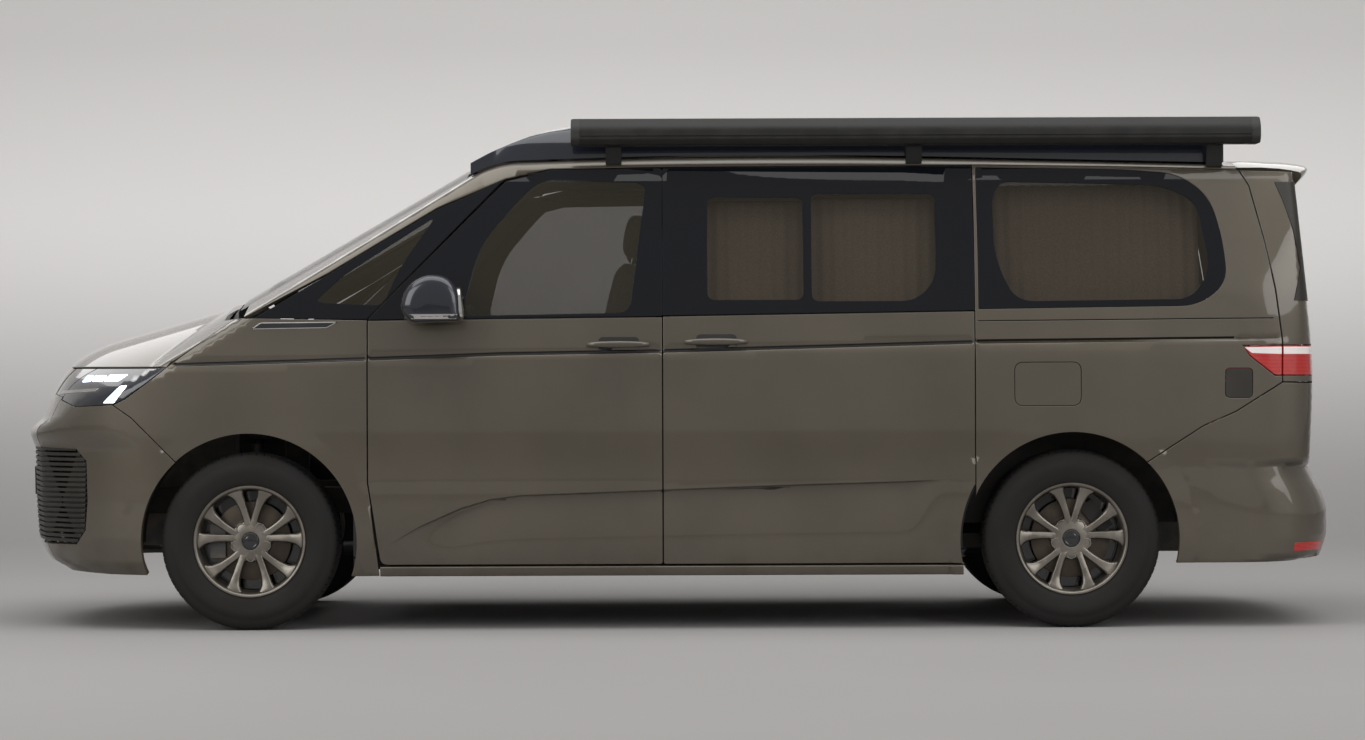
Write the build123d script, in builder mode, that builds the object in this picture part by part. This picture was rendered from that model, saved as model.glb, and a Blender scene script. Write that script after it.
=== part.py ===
from build123d import *
import os
from math import atan2, cos, degrees, radians, sin, sqrt

# Camper van, standing on its wheels, nose toward -X, its left side toward -Y, millimetres.
# The origin is on the floor, at mid-length, on the centreline.

os.makedirs("parts", exist_ok=True)

# Overall sizes
LENGTH = 5173
BODY_WIDTH = 1941
WHEELBASE = 3124
FRONT_OVERHANG = 965
NOSE_X = -LENGTH / 2
TAIL_X = LENGTH / 2
HALF_WIDTH = BODY_WIDTH / 2
FRONT_X = NOSE_X + FRONT_OVERHANG
REAR_X = FRONT_X + WHEELBASE

# Heights of the body, from the floor
SILL_Z = 202
DOOR_LOW_Z = 246
FLOOR_LOW_Z = 330
FLOOR_Z = 430
BELT_Z = 1180
RAIL_Z = 1800
DOOR_TOP_Z = 1758
ROOF_Z = 1846

# Wheels
TYRE_R = 338
TYRE_W = 215
BEAD_R = 204
RIM_R = 213
BARREL_R = 190
WHEEL_Y = 822
ARCH_R = 408
ARCH_GROW = 17
LINER_T = 5
DISC_R = 150
HUB_R = 34
SPINDLE_R = 23
RUN_GAP = 0.3
SPOKE_PAIRS = 5
SPOKE_SPREAD = 14
BOLT_CIRCLE_R = 56
BOLT_HOLE_R = 8

# Steering
KINGPIN_TILT = 13
KINGPIN_LOW_Y = 760
KINGPIN_LOW_Z = 200
STRUT_R = 24
STRUT_TOP_Z = 700
SPRING_R = 54
TOWER_Z = 900

# Panels, gaps and glass
DOOR_T = 55
PANEL_T = 26
BUMPER_T = 34
GLASS_T = 6
GLASS_SINK = 1.5
GLASS_LAP = 34
SHUT_GAP = 6
SEAM = 0.6
FLARE_T = 8
STEP_BACK = 26
RETURN_T = 16
ROOF_EDGE_Y = 728
DOOR_BLOCK_Y = 600
DOOR_CLEAR = 8
FRAME_T = 40
FRAME_LAP = 45
SPAN = 1200

# Lines where the side is divided, from front to rear
DOOR_FRONT_X = FRONT_X + 452
B_POST_X = DOOR_FRONT_X + 1119
C_POST_X = B_POST_X + 1185
TAILGATE_TOP_X = REAR_X + 648
TAILGATE_LOW_X = REAR_X + 801


def crowned(start, end, radius, inset, reach=4500, half=1150, depth=4200):
    """Block below a surface that runs from start to end (x, z) and is crowned across the body."""
    run = (end[0] - start[0], 0, end[1] - start[1])
    plane = Plane(origin=(start[0], 0, start[1]), x_dir=(0, 1, 0), z_dir=run)
    edge = sqrt((radius - inset) ** 2 - half**2) - radius
    with BuildPart() as block:
        with BuildSketch(plane):
            with BuildLine():
                ThreePointArc((-half, edge), (0, -inset), (half, edge))
                Polyline((half, edge), (half, -depth), (-half, -depth), (-half, edge))
            make_face()
        extrude(amount=reach, both=True)
    return block.part


# Crowned surfaces of the body in side view: start (x, z), end (x, z), radius across the body
NOSE_FACE = ((NOSE_X + 25, 730), (NOSE_X + 104, 935), 2000)
LEADING_EDGE = ((NOSE_X + 128, 985), (NOSE_X + 205, 1052), 1900)
HOOD = ((NOSE_X + 238, 1078), (NOSE_X + 821, 1243), 2150)
SCREEN = ((NOSE_X + 821, 1243), (NOSE_X + 1792, 1805), 4060)
ROOF_FRONT = ((NOSE_X + 1852, 1822), (NOSE_X + 2600, ROOF_Z), 6500)
ROOF_REAR = ((REAR_X - 900, ROOF_Z), (TAIL_X - 260, ROOF_Z - 42), 6500)
TAIL_FACE = ((TAIL_X - 150, 1700), (TAIL_X - 74, 1000), 4700)
TAIL_LOW = ((TAIL_X - 74, 1000), (TAIL_X - 92, 640), 4700)
COWL_X = NOSE_X + 1250
BUMPER_SHELF_Z = 612


def moved(rows, inset):
    """Points of a table (along, up, share of the inset along, share up), moved inward."""
    return [(along + share_along * inset, up + share_up * inset) for along, up, share_along, share_up in rows]


def plan_outline(inset):
    """Outline of the body seen from above."""
    half = [
        (NOSE_X, 0, 1, 0),
        (NOSE_X + 26, (HALF_WIDTH - 330) / 2, 1, -0.1),
        (NOSE_X + 106, HALF_WIDTH - 330, 0.95, -0.4),
        (NOSE_X + 322, HALF_WIDTH - 102, 0.5, -0.9),
        (NOSE_X + 790, HALF_WIDTH - 8, 0, -1),
        (DOOR_FRONT_X, HALF_WIDTH, 0, -1),
        (REAR_X + 150, HALF_WIDTH, 0, -1),
        (TAIL_X - 330, HALF_WIDTH - 38, -0.1, -1),
        (TAIL_X - 170, HALF_WIDTH - 92, -0.6, -0.8),
        (TAIL_X - 78, HALF_WIDTH - 250, -1, -0.3),
        (TAIL_X - 20, (HALF_WIDTH - 250) / 2, -1, -0.1),
        (TAIL_X, 0, -1, 0),
    ]
    nose, brow, cheek, corner, wing, door, haunch, tail_side, tail_corner, tail_edge, rear, tail = moved(half, inset)
    with BuildSketch() as outline:
        with BuildLine():
            ThreePointArc(nose, brow, cheek)
            ThreePointArc(cheek, corner, wing)
            Polyline(wing, door, haunch, tail_side)
            ThreePointArc(tail_side, tail_corner, tail_edge)
            ThreePointArc(tail_edge, rear, tail)
            mirror(about=Plane.XZ)
        make_face()
    return outline.sketch


def section_outline(inset):
    """Outline of the body seen from the front: upright flanks that lean in above the belt."""
    half = [
        (0, SILL_Z, 0, -1),
        (HALF_WIDTH - 40, SILL_Z, -1, -1),
        (HALF_WIDTH - FLARE_T - 12, 330, -1, 0),
        (HALF_WIDTH - FLARE_T - 3, 560, -1, 0),
        (HALF_WIDTH - FLARE_T, 800, -1, 0),
        (HALF_WIDTH - FLARE_T - 3, 1030, -1, 0),
        (HALF_WIDTH - 25, BELT_Z, -1, 0),
        (HALF_WIDTH - 80, 1480, -1, -0.2),
        (HALF_WIDTH - 158, 1730, -1, -0.8),
        (HALF_WIDTH - 174, 1778, -0.9, -0.9),
        (HALF_WIDTH - 214, RAIL_Z + 4, -1, -1),
        (0, ROOF_Z + 90, 0, -1),
    ]
    low, sill, rocker, flank, door, crease, belt, glass, head, shoulder, rail, top = moved(half, inset)
    with BuildSketch(Plane.YZ) as outline:
        with BuildLine():
            Line(low, sill)
            ThreePointArc(sill, rocker, flank)
            ThreePointArc(flank, door, crease)
            Line(crease, belt)
            ThreePointArc(belt, glass, head)
            ThreePointArc(head, shoulder, rail)
            Line(rail, top)
            mirror(about=Plane.YZ)
        make_face()
    return outline.sketch


def side_outline(inset):
    """Outline of the body's lower corners in side view, open toward the roof."""
    top_z = ROOF_Z + 400
    rows = [
        (NOSE_X + 150, SILL_Z + 22, 0.4, -1),
        (FRONT_X, SILL_Z + 22, 0, -1),
        (FRONT_X + 50, SILL_Z - 6, 0, -1),
        (REAR_X - 50, SILL_Z - 6, 0, -1),
        (REAR_X, SILL_Z + 32, 0, -1),
        (TAIL_X - 190, SILL_Z + 32, -0.4, -1),
        (TAIL_X - 40, 262, -1, 0.2),
        (TAIL_X - 8, 340, -1, 0),
        (TAIL_X - 6, 440, -1, 0),
        (TAIL_X - 42, 510, -1, 0),
        (TAIL_X - 82, 575, -1, 0),
        (TAIL_X - 84, BUMPER_SHELF_Z, -1, 0),
        (TAIL_X + 200, BUMPER_SHELF_Z, 0, 0),
        (TAIL_X + 200, top_z, 0, 0),
        (NOSE_X - 200, top_z, 0, 0),
        (NOSE_X - 1, 700, 1, 0),
        (NOSE_X, 590, 1, 0),
        (NOSE_X + 2, 480, 1, 0),
        (NOSE_X + 12, 330, 1, 0),
        (NOSE_X + 52, 262, 1, 0.2),
    ]
    points = moved(rows, inset)
    front_low, rear_low = points[0], points[5]
    heel, tail, bulge, tuck, waist, shelf, *above, upper, nose, lower, chin, lip = points[6:]
    with BuildSketch(Plane.XZ) as outline:
        with BuildLine():
            Polyline(points[:6])
            ThreePointArc(rear_low, heel, tail)
            ThreePointArc(tail, bulge, tuck)
            Polyline(tuck, waist, shelf, *above, upper)
            ThreePointArc(upper, nose, lower)
            Line(lower, chin)
            ThreePointArc(chin, lip, front_low)
        make_face()
    return outline.sketch


def slab(surface, inset):
    """Block below one of the crowned surfaces above."""
    start, end, radius = surface
    return crowned(start, end, radius, inset)


def body_block(inset):
    """Closed block of the whole body, with its skin moved inward by inset."""
    with BuildPart() as front:
        add(slab(HOOD, inset))
        add(slab(LEADING_EDGE, inset), mode=Mode.INTERSECT)
        add(slab(NOSE_FACE, inset), mode=Mode.INTERSECT)
        with BuildSketch(Plane.XY):
            with Locations((COWL_X - 1500 - inset, 0)):
                Rectangle(3000, 2 * SPAN)
        extrude(amount=2 * ROOF_Z, mode=Mode.INTERSECT)
    with BuildPart() as cabin:
        add(slab(SCREEN, inset))
        for surface in (ROOF_FRONT, ROOF_REAR, TAIL_FACE, TAIL_LOW):
            add(slab(surface, inset), mode=Mode.INTERSECT)
        with BuildSketch(Plane.XY):
            with Locations((TAIL_X - 500, 0)):
                Rectangle(1200, 2 * SPAN)
        extrude(amount=BUMPER_SHELF_Z + inset)
    with BuildPart() as block:
        add(front.part)
        add(cabin.part)
        extrude(section_outline(inset), amount=SPAN * 3, both=True, mode=Mode.INTERSECT)
        extrude(plan_outline(inset), amount=SPAN * 3, both=True, mode=Mode.INTERSECT)
        extrude(side_outline(inset), amount=SPAN, both=True, mode=Mode.INTERSECT)
    return block.part


def prism(points, grow=0, inner=0, outer=SPAN):
    """Prism of a side-view outline (x, z), from inner to outer on the left of the centreline."""
    with BuildPart() as block:
        with BuildSketch(Plane.XZ.offset(inner)):
            with BuildLine():
                Polyline(*points, close=True)
            make_face()
            if grow:
                offset(amount=grow, kind=Kind.INTERSECTION)
        extrude(amount=outer - inner)
    return block.part


def flank_cylinder(x, radius, inner, outer, z=TYRE_R):
    """Cylinder across the van on the left, from inner to outer."""
    with BuildPart() as block:
        with BuildSketch(Plane.XZ.offset(inner)):
            with Locations((x, z)):
                Circle(radius)
        extrude(amount=outer - inner)
    return block.part


def brick(low, high):
    """Block between two corners."""
    sizes = [top - bottom for bottom, top in zip(low, high)]
    middle = [(top + bottom) / 2 for bottom, top in zip(low, high)]
    with BuildPart() as block:
        with Locations(tuple(middle)):
            Box(*sizes)
    return block.part


def cut_skin(outside, inside, outline, cuts=()):
    """Piece of the skin between two body blocks, within an outline and less the cuts."""
    with BuildPart() as piece:
        add(outline)
        add(outside, mode=Mode.INTERSECT)
        add(inside, mode=Mode.SUBTRACT)
        for cut in cuts:
            add(cut, mode=Mode.SUBTRACT)
    return piece.part


def on_side(part, side):
    """The left-hand part itself, or its mirror image on the right."""
    return part if side < 0 else part.mirror(Plane.XZ)


def pair(part):
    """The left-hand part with its mirror image."""
    with BuildPart() as both:
        add(part)
        add(part.mirror(Plane.XZ))
    return both.part


def write(part, name):
    """Label a finished piece and write its STEP file."""
    part.label = name
    export_step(part, f"parts/{name}.step")


SIDES = (("left", -1), ("right", 1))

# Skins: the outer face, and how far in each layer reaches
OUTER = body_block(0)
GLASS_OUT = body_block(GLASS_SINK)
GLASS_IN = body_block(GLASS_SINK + GLASS_T)
SKIN_IN = body_block(RETURN_T)
PANEL_IN = body_block(PANEL_T)
DOOR_IN = body_block(DOOR_T)
FRAME_OUT = body_block(DOOR_T + DOOR_CLEAR)
FRAME_IN = body_block(DOOR_T + FRAME_T)

# Side-view outlines (x, z), from the lines above
FRONT_DOOR = [
    (DOOR_FRONT_X, BELT_Z - 8), (DOOR_FRONT_X, 560), (DOOR_FRONT_X + 14, 470),
    (DOOR_FRONT_X + 46, DOOR_LOW_Z), (B_POST_X, DOOR_LOW_Z), (B_POST_X, DOOR_TOP_Z),
    (DOOR_FRONT_X + 690, DOOR_TOP_Z - 6), (DOOR_FRONT_X + 520, DOOR_TOP_Z - 50),
]
SLIDING_DOOR = [
    (B_POST_X, DOOR_LOW_Z), (C_POST_X, DOOR_LOW_Z), (C_POST_X, DOOR_TOP_Z + 4), (B_POST_X, DOOR_TOP_Z),
]
FRONT_DOOR_GLASS = [
    (DOOR_FRONT_X + 62, BELT_Z + 14), (B_POST_X - 20, BELT_Z + 14), (B_POST_X - 20, DOOR_TOP_Z - 20),
    (DOOR_FRONT_X + 700, DOOR_TOP_Z - 26), (DOOR_FRONT_X + 545, DOOR_TOP_Z - 66),
]
SLIDING_DOOR_GLASS = [
    (B_POST_X + 20, BELT_Z + 20), (C_POST_X - 20, BELT_Z + 30),
    (C_POST_X - 20, DOOR_TOP_Z - 14), (B_POST_X + 20, DOOR_TOP_Z - 18),
]
FRONT_QUARTER_GLASS = [
    (DOOR_FRONT_X - 395, BELT_Z + 16), (DOOR_FRONT_X - 10, BELT_Z + 12),
    (DOOR_FRONT_X + 488, DOOR_TOP_Z - 60), (DOOR_FRONT_X + 395, DOOR_TOP_Z - 90),
]
REAR_QUARTER_GLASS = [
    (C_POST_X + 14, BELT_Z + 30), (C_POST_X + 850, BELT_Z + 38), (C_POST_X + 962, BELT_Z + 128),
    (C_POST_X + 930, BELT_Z + 400), (C_POST_X + 860, BELT_Z + 522), (C_POST_X + 700, DOOR_TOP_Z - 16),
    (C_POST_X + 14, DOOR_TOP_Z - 6),
]
BONNET = [
    (NOSE_X - 200, 1000), (NOSE_X + 655, 1002), (NOSE_X + 905, 1186), (NOSE_X + 905, ROOF_Z),
    (NOSE_X - 200, ROOF_Z),
]
BONNET_REAR_X = NOSE_X + 850
LAMP = [
    (NOSE_X - 200, 1000), (NOSE_X + 655, 1002), (NOSE_X + 579, 941), (NOSE_X + 495, 881),
    (NOSE_X + 446, 858), (NOSE_X + 290, 852), (NOSE_X + 200, 880), (NOSE_X - 200, 905),
]
LAMP_INNER_Y = 470
WING = [
    (NOSE_X + 655, 1002), (NOSE_X + 905, 1186), (NOSE_X + 946, BELT_Z + 8), (DOOR_FRONT_X, BELT_Z - 4),
    (DOOR_FRONT_X, 560), (DOOR_FRONT_X + 14, 470), (DOOR_FRONT_X + 46, DOOR_LOW_Z - 60),
    (FRONT_X, DOOR_LOW_Z - 60), (FRONT_X, TYRE_R + 200), (NOSE_X + 686, 645), (NOSE_X + 519, 809),
    (NOSE_X + 446, 858), (NOSE_X + 495, 881), (NOSE_X + 579, 941),
]
FRONT_BUMPER = [
    (NOSE_X - 200, 1000), (NOSE_X + 655, 1002), (NOSE_X + 446, 858), (NOSE_X + 519, 809),
    (NOSE_X + 686, 645), (FRONT_X, TYRE_R + 200), (FRONT_X, 100), (NOSE_X - 200, 100),
]
GRILLE = [
    (NOSE_X - 200, 700), (NOSE_X + 292, 690), (NOSE_X + 336, 645), (NOSE_X + 340, 490),
    (NOSE_X + 330, 380), (NOSE_X + 290, 325), (NOSE_X - 200, 325),
]
TAILGATE_EDGE = [
    (TAILGATE_TOP_X, ROOF_Z + 200), (TAILGATE_TOP_X, 1770), (TAILGATE_TOP_X + 42, 1681),
    (TAILGATE_TOP_X + 90, 1471), (TAILGATE_TOP_X + 128, 1281), (TAILGATE_LOW_X, 1090),
    (TAILGATE_LOW_X, 928),
]
TAILGATE_UPPER = TAILGATE_EDGE + [(TAIL_X + 200, 928), (TAIL_X + 200, ROOF_Z + 200)]
TAILGATE_LOWER = [
    (TAILGATE_LOW_X, 950), (TAILGATE_LOW_X, BUMPER_SHELF_Z + 8), (TAIL_X + 200, BUMPER_SHELF_Z + 8),
    (TAIL_X + 200, 950),
]
TAILGATE_LOWER_Y = 700
REAR_BUMPER = [
    (TAIL_X + 200, 928), (TAILGATE_LOW_X, 928), (TAILGATE_LOW_X - 180, 818), (REAR_X + 284, 628),
    (REAR_X + 200, 480), (REAR_X + 200, 100), (TAIL_X + 200, 100),
]
TAIL_LAMP = [
    (TAILGATE_LOW_X - 150, 1068), (TAIL_X + 200, 1072), (TAIL_X + 200, 955),
    (TAILGATE_LOW_X - 30, 955), (TAILGATE_LOW_X - 125, 1030),
]
TAIL_LAMP_INNER_Y = 430
TAIL_WINDOW = [(TAIL_X - 400, 1160), (TAIL_X - 400, 1665), (TAIL_X + 100, 1665), (TAIL_X + 100, 1160)]
TAIL_WINDOW_Y = 745
SIDE_REGION = [
    (NOSE_X + 946, BELT_Z + 8), (NOSE_X + 946, ROOF_Z + 200), *TAILGATE_EDGE,
    (TAILGATE_LOW_X - 180, 818), (REAR_X + 284, 628), (REAR_X + 200, 480), (REAR_X + 200, 100),
    (DOOR_FRONT_X + 46, 100), (DOOR_FRONT_X + 46, DOOR_LOW_Z), (DOOR_FRONT_X + 14, 470),
    (DOOR_FRONT_X, 560), (DOOR_FRONT_X, BELT_Z - 4),
]
SCREEN_REGION = [
    (NOSE_X + 760, BELT_Z + 12), (NOSE_X + 760, ROOF_Z + 300), (NOSE_X + 1500, ROOF_Z + 300),
    (NOSE_X + 1784, ROOF_Z - 60), (NOSE_X + 1784, ROOF_Z - 240), (NOSE_X + 960, BELT_Z + 12),
]
ROOF_REGION = [
    (NOSE_X + 1790, ROOF_Z - 60), (NOSE_X + 1790, ROOF_Z + 100), (TAILGATE_TOP_X, ROOF_Z + 100),
    (TAILGATE_TOP_X, ROOF_Z - 100), (NOSE_X + 1790, ROOF_Z - 100),
]

front_arch = flank_cylinder(FRONT_X, ARCH_R, 0, SPAN)
rear_arch = flank_cylinder(REAR_X, ARCH_R - 6, 0, SPAN)

# Body sides: posts, roof rails, rear quarters and sills round the door openings
side_cuts = [
    prism(FRONT_DOOR), prism(SLIDING_DOOR), prism(TAIL_LAMP), front_arch, rear_arch,
    prism(FRONT_QUARTER_GLASS, -GLASS_LAP), prism(REAR_QUARTER_GLASS, -GLASS_LAP),
]
with BuildPart() as side_layer:
    for outline in (FRONT_QUARTER_GLASS, REAR_QUARTER_GLASS):
        add(cut_skin(OUTER, GLASS_IN, prism(outline, SEAM / 2)))
FRAME_REGION = [
    (DOOR_FRONT_X - 60, DOOR_LOW_Z - 30), (C_POST_X + 60, DOOR_LOW_Z - 30),
    (C_POST_X + 60, DOOR_TOP_Z + 30), (DOOR_FRONT_X + 500, DOOR_TOP_Z + 30), (DOOR_FRONT_X - 60, BELT_Z + 20),
]
with BuildPart() as door_frame:
    add(cut_skin(DOOR_IN, FRAME_IN, prism(FRAME_REGION, 0, DOOR_BLOCK_Y + 50)))
    add(prism(FRONT_DOOR, -FRAME_LAP), mode=Mode.SUBTRACT)
    add(prism(SLIDING_DOOR, -FRAME_LAP), mode=Mode.SUBTRACT)
    for outline in (FRONT_DOOR, SLIDING_DOOR):
        add(cut_skin(OUTER, FRAME_OUT, prism(outline, SEAM, DOOR_BLOCK_Y)), mode=Mode.SUBTRACT)
    for x in (FRONT_X, REAR_X):
        add(flank_cylinder(x, ARCH_R + ARCH_GROW + LINER_T + SEAM, 0, SPAN), mode=Mode.SUBTRACT)
with BuildPart() as body_side:
    add(door_frame.part)
    add(cut_skin(OUTER, DOOR_IN, prism(SIDE_REGION, -SEAM / 2, ROOF_EDGE_Y), side_cuts))
    add(side_layer.part, mode=Mode.SUBTRACT)
for name, side in SIDES:
    write(on_side(body_side.part, side), f"body_side_{name}")

# Fixed side glass, bonded into rebates in the sides
with BuildPart() as side_glass:
    for outline in (FRONT_QUARTER_GLASS, REAR_QUARTER_GLASS):
        add(cut_skin(GLASS_OUT, GLASS_IN, prism(outline, -SEAM / 2, ROOF_EDGE_Y)))
write(pair(side_glass.part), "side_glass")

HANDLE = (236, 22, 1078)


def handle(x):
    """Pull handle of a left door, its middle at x."""
    length, tall, z = HANDLE
    with BuildPart() as bar:
        add(brick((x - length / 2, -HALF_WIDTH - 2, z - tall / 2), (x + length / 2, -HALF_WIDTH + 12, z + tall / 2)))
        for end in (-1, 1):
            middle = x + end * (length / 2 - 14)
            add(brick((middle - 14, -HALF_WIDTH, z - tall / 2), (middle + 14, -HALF_WIDTH + 34, z + tall / 2)))
    return bar.part


# Front doors: an outer skin to the shut lines and an inner box set back from them
with BuildPart() as front_door:
    add(cut_skin(OUTER, SKIN_IN, prism(FRONT_DOOR, -SHUT_GAP, DOOR_BLOCK_Y)))
    add(cut_skin(SKIN_IN, DOOR_IN, prism(FRONT_DOOR, -STEP_BACK, DOOR_BLOCK_Y)))
    add(prism(FRONT_DOOR_GLASS, -GLASS_LAP), mode=Mode.SUBTRACT)
    add(cut_skin(OUTER, GLASS_IN, prism(FRONT_DOOR_GLASS, SEAM / 2)), mode=Mode.SUBTRACT)
    add(handle(B_POST_X - 168))
front_door_glass = cut_skin(GLASS_OUT, GLASS_IN, prism(FRONT_DOOR_GLASS, -SEAM / 2, DOOR_BLOCK_Y))
for name, side in SIDES:
    write(on_side(front_door.part, side), f"front_door_{name}")
    write(on_side(front_door_glass, side), f"front_door_glass_{name}")

# Sliding doors, which rest by runners on the frame behind them
RUNNER_Z = (860, 1100, 1560)
RUNNER_IN = body_block(DOOR_T + DOOR_CLEAR - RUN_GAP)
with BuildPart() as sliding_door:
    add(cut_skin(OUTER, SKIN_IN, prism(SLIDING_DOOR, -SHUT_GAP, DOOR_BLOCK_Y)))
    add(cut_skin(SKIN_IN, DOOR_IN, prism(SLIDING_DOOR, -STEP_BACK, DOOR_BLOCK_Y)))
    add(prism(SLIDING_DOOR_GLASS, -GLASS_LAP), mode=Mode.SUBTRACT)
    add(cut_skin(OUTER, GLASS_IN, prism(SLIDING_DOOR_GLASS, SEAM / 2)), mode=Mode.SUBTRACT)
    add(flank_cylinder(REAR_X, ARCH_R + ARCH_GROW, 0, SPAN), mode=Mode.SUBTRACT)
    add(handle(B_POST_X + 202))
    for z in RUNNER_Z:
        add(cut_skin(SKIN_IN, RUNNER_IN, prism([
            (C_POST_X - 42, z), (C_POST_X - 30, z), (C_POST_X - 30, z + 40), (C_POST_X - 42, z + 40),
        ], 0, DOOR_BLOCK_Y)))
sliding_glass = cut_skin(GLASS_OUT, GLASS_IN, prism(SLIDING_DOOR_GLASS, -SEAM / 2, DOOR_BLOCK_Y))
for name, side in SIDES:
    write(on_side(sliding_door.part, side), f"sliding_door_{name}")
write(pair(sliding_glass), "sliding_door_glass")

# Wings, bonnet, nose and lamps
with BuildPart() as wing:
    add(cut_skin(OUTER, PANEL_IN, prism(WING, -SEAM / 2, ROOF_EDGE_Y), [front_arch]))
write(pair(wing.part), "front_wings")

with BuildPart() as bonnet:
    add(cut_skin(OUTER, PANEL_IN, prism(BONNET, -SHUT_GAP, -SPAN)))
    with BuildSketch(Plane.XY):
        with Locations((BONNET_REAR_X + 500, 0)):
            Rectangle(1000, 2 * ROOF_EDGE_Y)
    extrude(amount=ROOF_Z + 100, mode=Mode.SUBTRACT)
write(bonnet.part, "bonnet")

lamp_block = prism(LAMP, 0, LAMP_INNER_Y)
headlamps = cut_skin(OUTER, PANEL_IN, prism(LAMP, -SEAM / 2, LAMP_INNER_Y))
write(pair(headlamps), "headlamps")

with BuildPart() as front_bumper:
    add(cut_skin(OUTER, body_block(BUMPER_T), prism(FRONT_BUMPER, -SEAM / 2, -SPAN)))
    add(pair(lamp_block), mode=Mode.SUBTRACT)
    add(pair(front_arch), mode=Mode.SUBTRACT)
    add(prism(GRILLE, 0, -SPAN), mode=Mode.SUBTRACT)
write(front_bumper.part, "front_bumper")

GRILLE_DEPTH = 22
front_grille = cut_skin(body_block(GRILLE_DEPTH / 2), body_block(BUMPER_T), prism(GRILLE, -RUN_GAP, -SPAN))
write(front_grille, "front_grille")

# Windscreen, cowl and roof
with BuildPart() as windscreen:
    add(cut_skin(GLASS_OUT, GLASS_IN, prism(SCREEN_REGION, -SEAM, -(ROOF_EDGE_Y - SEAM), ROOF_EDGE_Y - SEAM)))
    add(brick((NOSE_X, -SPAN, 0), (BONNET_REAR_X + 56 + SEAM, SPAN, ROOF_Z)), mode=Mode.SUBTRACT)
write(windscreen.part, "windscreen")

with BuildPart() as cowl:
    low, high = BELT_Z - 60, BELT_Z + 300
    add(brick((BONNET_REAR_X + SHUT_GAP, -ROOF_EDGE_Y + SEAM, low), (BONNET_REAR_X + 56, ROOF_EDGE_Y - SEAM, high)))
    add(OUTER, mode=Mode.INTERSECT)
write(cowl.part, "cowl")

ROOF_HATCH = (-620, 620, 560)
with BuildPart() as roof_panel:
    add(cut_skin(OUTER, DOOR_IN, prism(ROOF_REGION, -SEAM / 2, -(ROOF_EDGE_Y - SEAM), ROOF_EDGE_Y - SEAM)))
    add(brick((ROOF_HATCH[0], -ROOF_HATCH[2], RAIL_Z - 300), (ROOF_HATCH[1], ROOF_HATCH[2], ROOF_Z + 200)),
        mode=Mode.SUBTRACT)
write(roof_panel.part, "roof_panel")

# Rear bumper, lamps and tailgate
with BuildPart() as rear_bumper:
    add(cut_skin(OUTER, body_block(BUMPER_T), prism(REAR_BUMPER, -SEAM / 2, -SPAN)))
    add(pair(rear_arch), mode=Mode.SUBTRACT)
    add(brick((REAR_X, -TAILGATE_LOWER_Y, BUMPER_SHELF_Z - 2), (TAIL_X + 100, TAILGATE_LOWER_Y, RAIL_Z)),
        mode=Mode.SUBTRACT)
write(rear_bumper.part, "rear_bumper")

with BuildPart() as tail_lamps:
    add(cut_skin(OUTER, PANEL_IN, prism(TAIL_LAMP, -SEAM / 2, ROOF_EDGE_Y)))
    add(prism(TAILGATE_UPPER), mode=Mode.SUBTRACT)
write(pair(tail_lamps.part), "tail_lamps")
with BuildPart() as tailgate_lamps:
    add(cut_skin(OUTER, PANEL_IN, prism(TAIL_LAMP, -SEAM / 2, TAIL_LAMP_INNER_Y)))
    add(prism(TAILGATE_UPPER, -SHUT_GAP), mode=Mode.INTERSECT)
write(pair(tailgate_lamps.part), "tailgate_lamps")

with BuildPart() as tailgate:
    add(cut_skin(OUTER, DOOR_IN, prism(TAILGATE_UPPER, -SHUT_GAP, -SPAN)))
    add(cut_skin(OUTER, DOOR_IN, prism(TAILGATE_LOWER, 0, -(TAILGATE_LOWER_Y - SHUT_GAP), TAILGATE_LOWER_Y - SHUT_GAP)))
    lamp_recess = cut_skin(OUTER, PANEL_IN, prism(TAIL_LAMP, 0, TAIL_LAMP_INNER_Y - SEAM / 2))
    add(pair(lamp_recess), mode=Mode.SUBTRACT)
    add(prism(TAIL_WINDOW, -GLASS_LAP, -(TAIL_WINDOW_Y - GLASS_LAP), TAIL_WINDOW_Y - GLASS_LAP), mode=Mode.SUBTRACT)
    add(cut_skin(OUTER, GLASS_IN, prism(TAIL_WINDOW, SEAM / 2, -(TAIL_WINDOW_Y + SEAM / 2), TAIL_WINDOW_Y + SEAM / 2)),
        mode=Mode.SUBTRACT)
write(tailgate.part, "tailgate")
tailgate_glass = cut_skin(GLASS_OUT, GLASS_IN, prism(TAIL_WINDOW, -SEAM / 2, -(TAIL_WINDOW_Y - SEAM / 2), TAIL_WINDOW_Y - SEAM / 2))
write(tailgate_glass, "tailgate_glass")

# Floor pan: cabin floor, firewall, front rails with strut towers, and rear wheel boxes
ENGINE = ((FRONT_X - 480, -370, 300), (FRONT_X - 120, 330, 880))
RAIL_Y = 455
RAIL_W = 90
FIREWALL_X = DOOR_FRONT_X - 20
TOWER_Y = 610
CABIN_Y = HALF_WIDTH - DOOR_T - FRAME_T - 6
REAR_TUB_Y = WHEEL_Y - TYRE_W / 2 - 40
KINGPIN_DIR = (0, sin(radians(KINGPIN_TILT)), cos(radians(KINGPIN_TILT)))
KINGPIN_LOW = (FRONT_X, -KINGPIN_LOW_Y, KINGPIN_LOW_Z)


def kingpin_y(z):
    """Distance of the left kingpin axis from the centreline at a height."""
    return KINGPIN_LOW_Y - (z - KINGPIN_LOW_Z) * sin(radians(KINGPIN_TILT)) / cos(radians(KINGPIN_TILT))


def along_kingpin(radius, low_z, high_z):
    """Cylinder on the left kingpin axis between two heights."""
    lean = cos(radians(KINGPIN_TILT))
    plane = Plane(origin=(FRONT_X, -kingpin_y(low_z), low_z), x_dir=(1, 0, 0), z_dir=KINGPIN_DIR)
    with BuildPart() as rod:
        with BuildSketch(plane):
            Circle(radius)
        extrude(amount=(high_z - low_z) / lean)
    return rod.part


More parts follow.
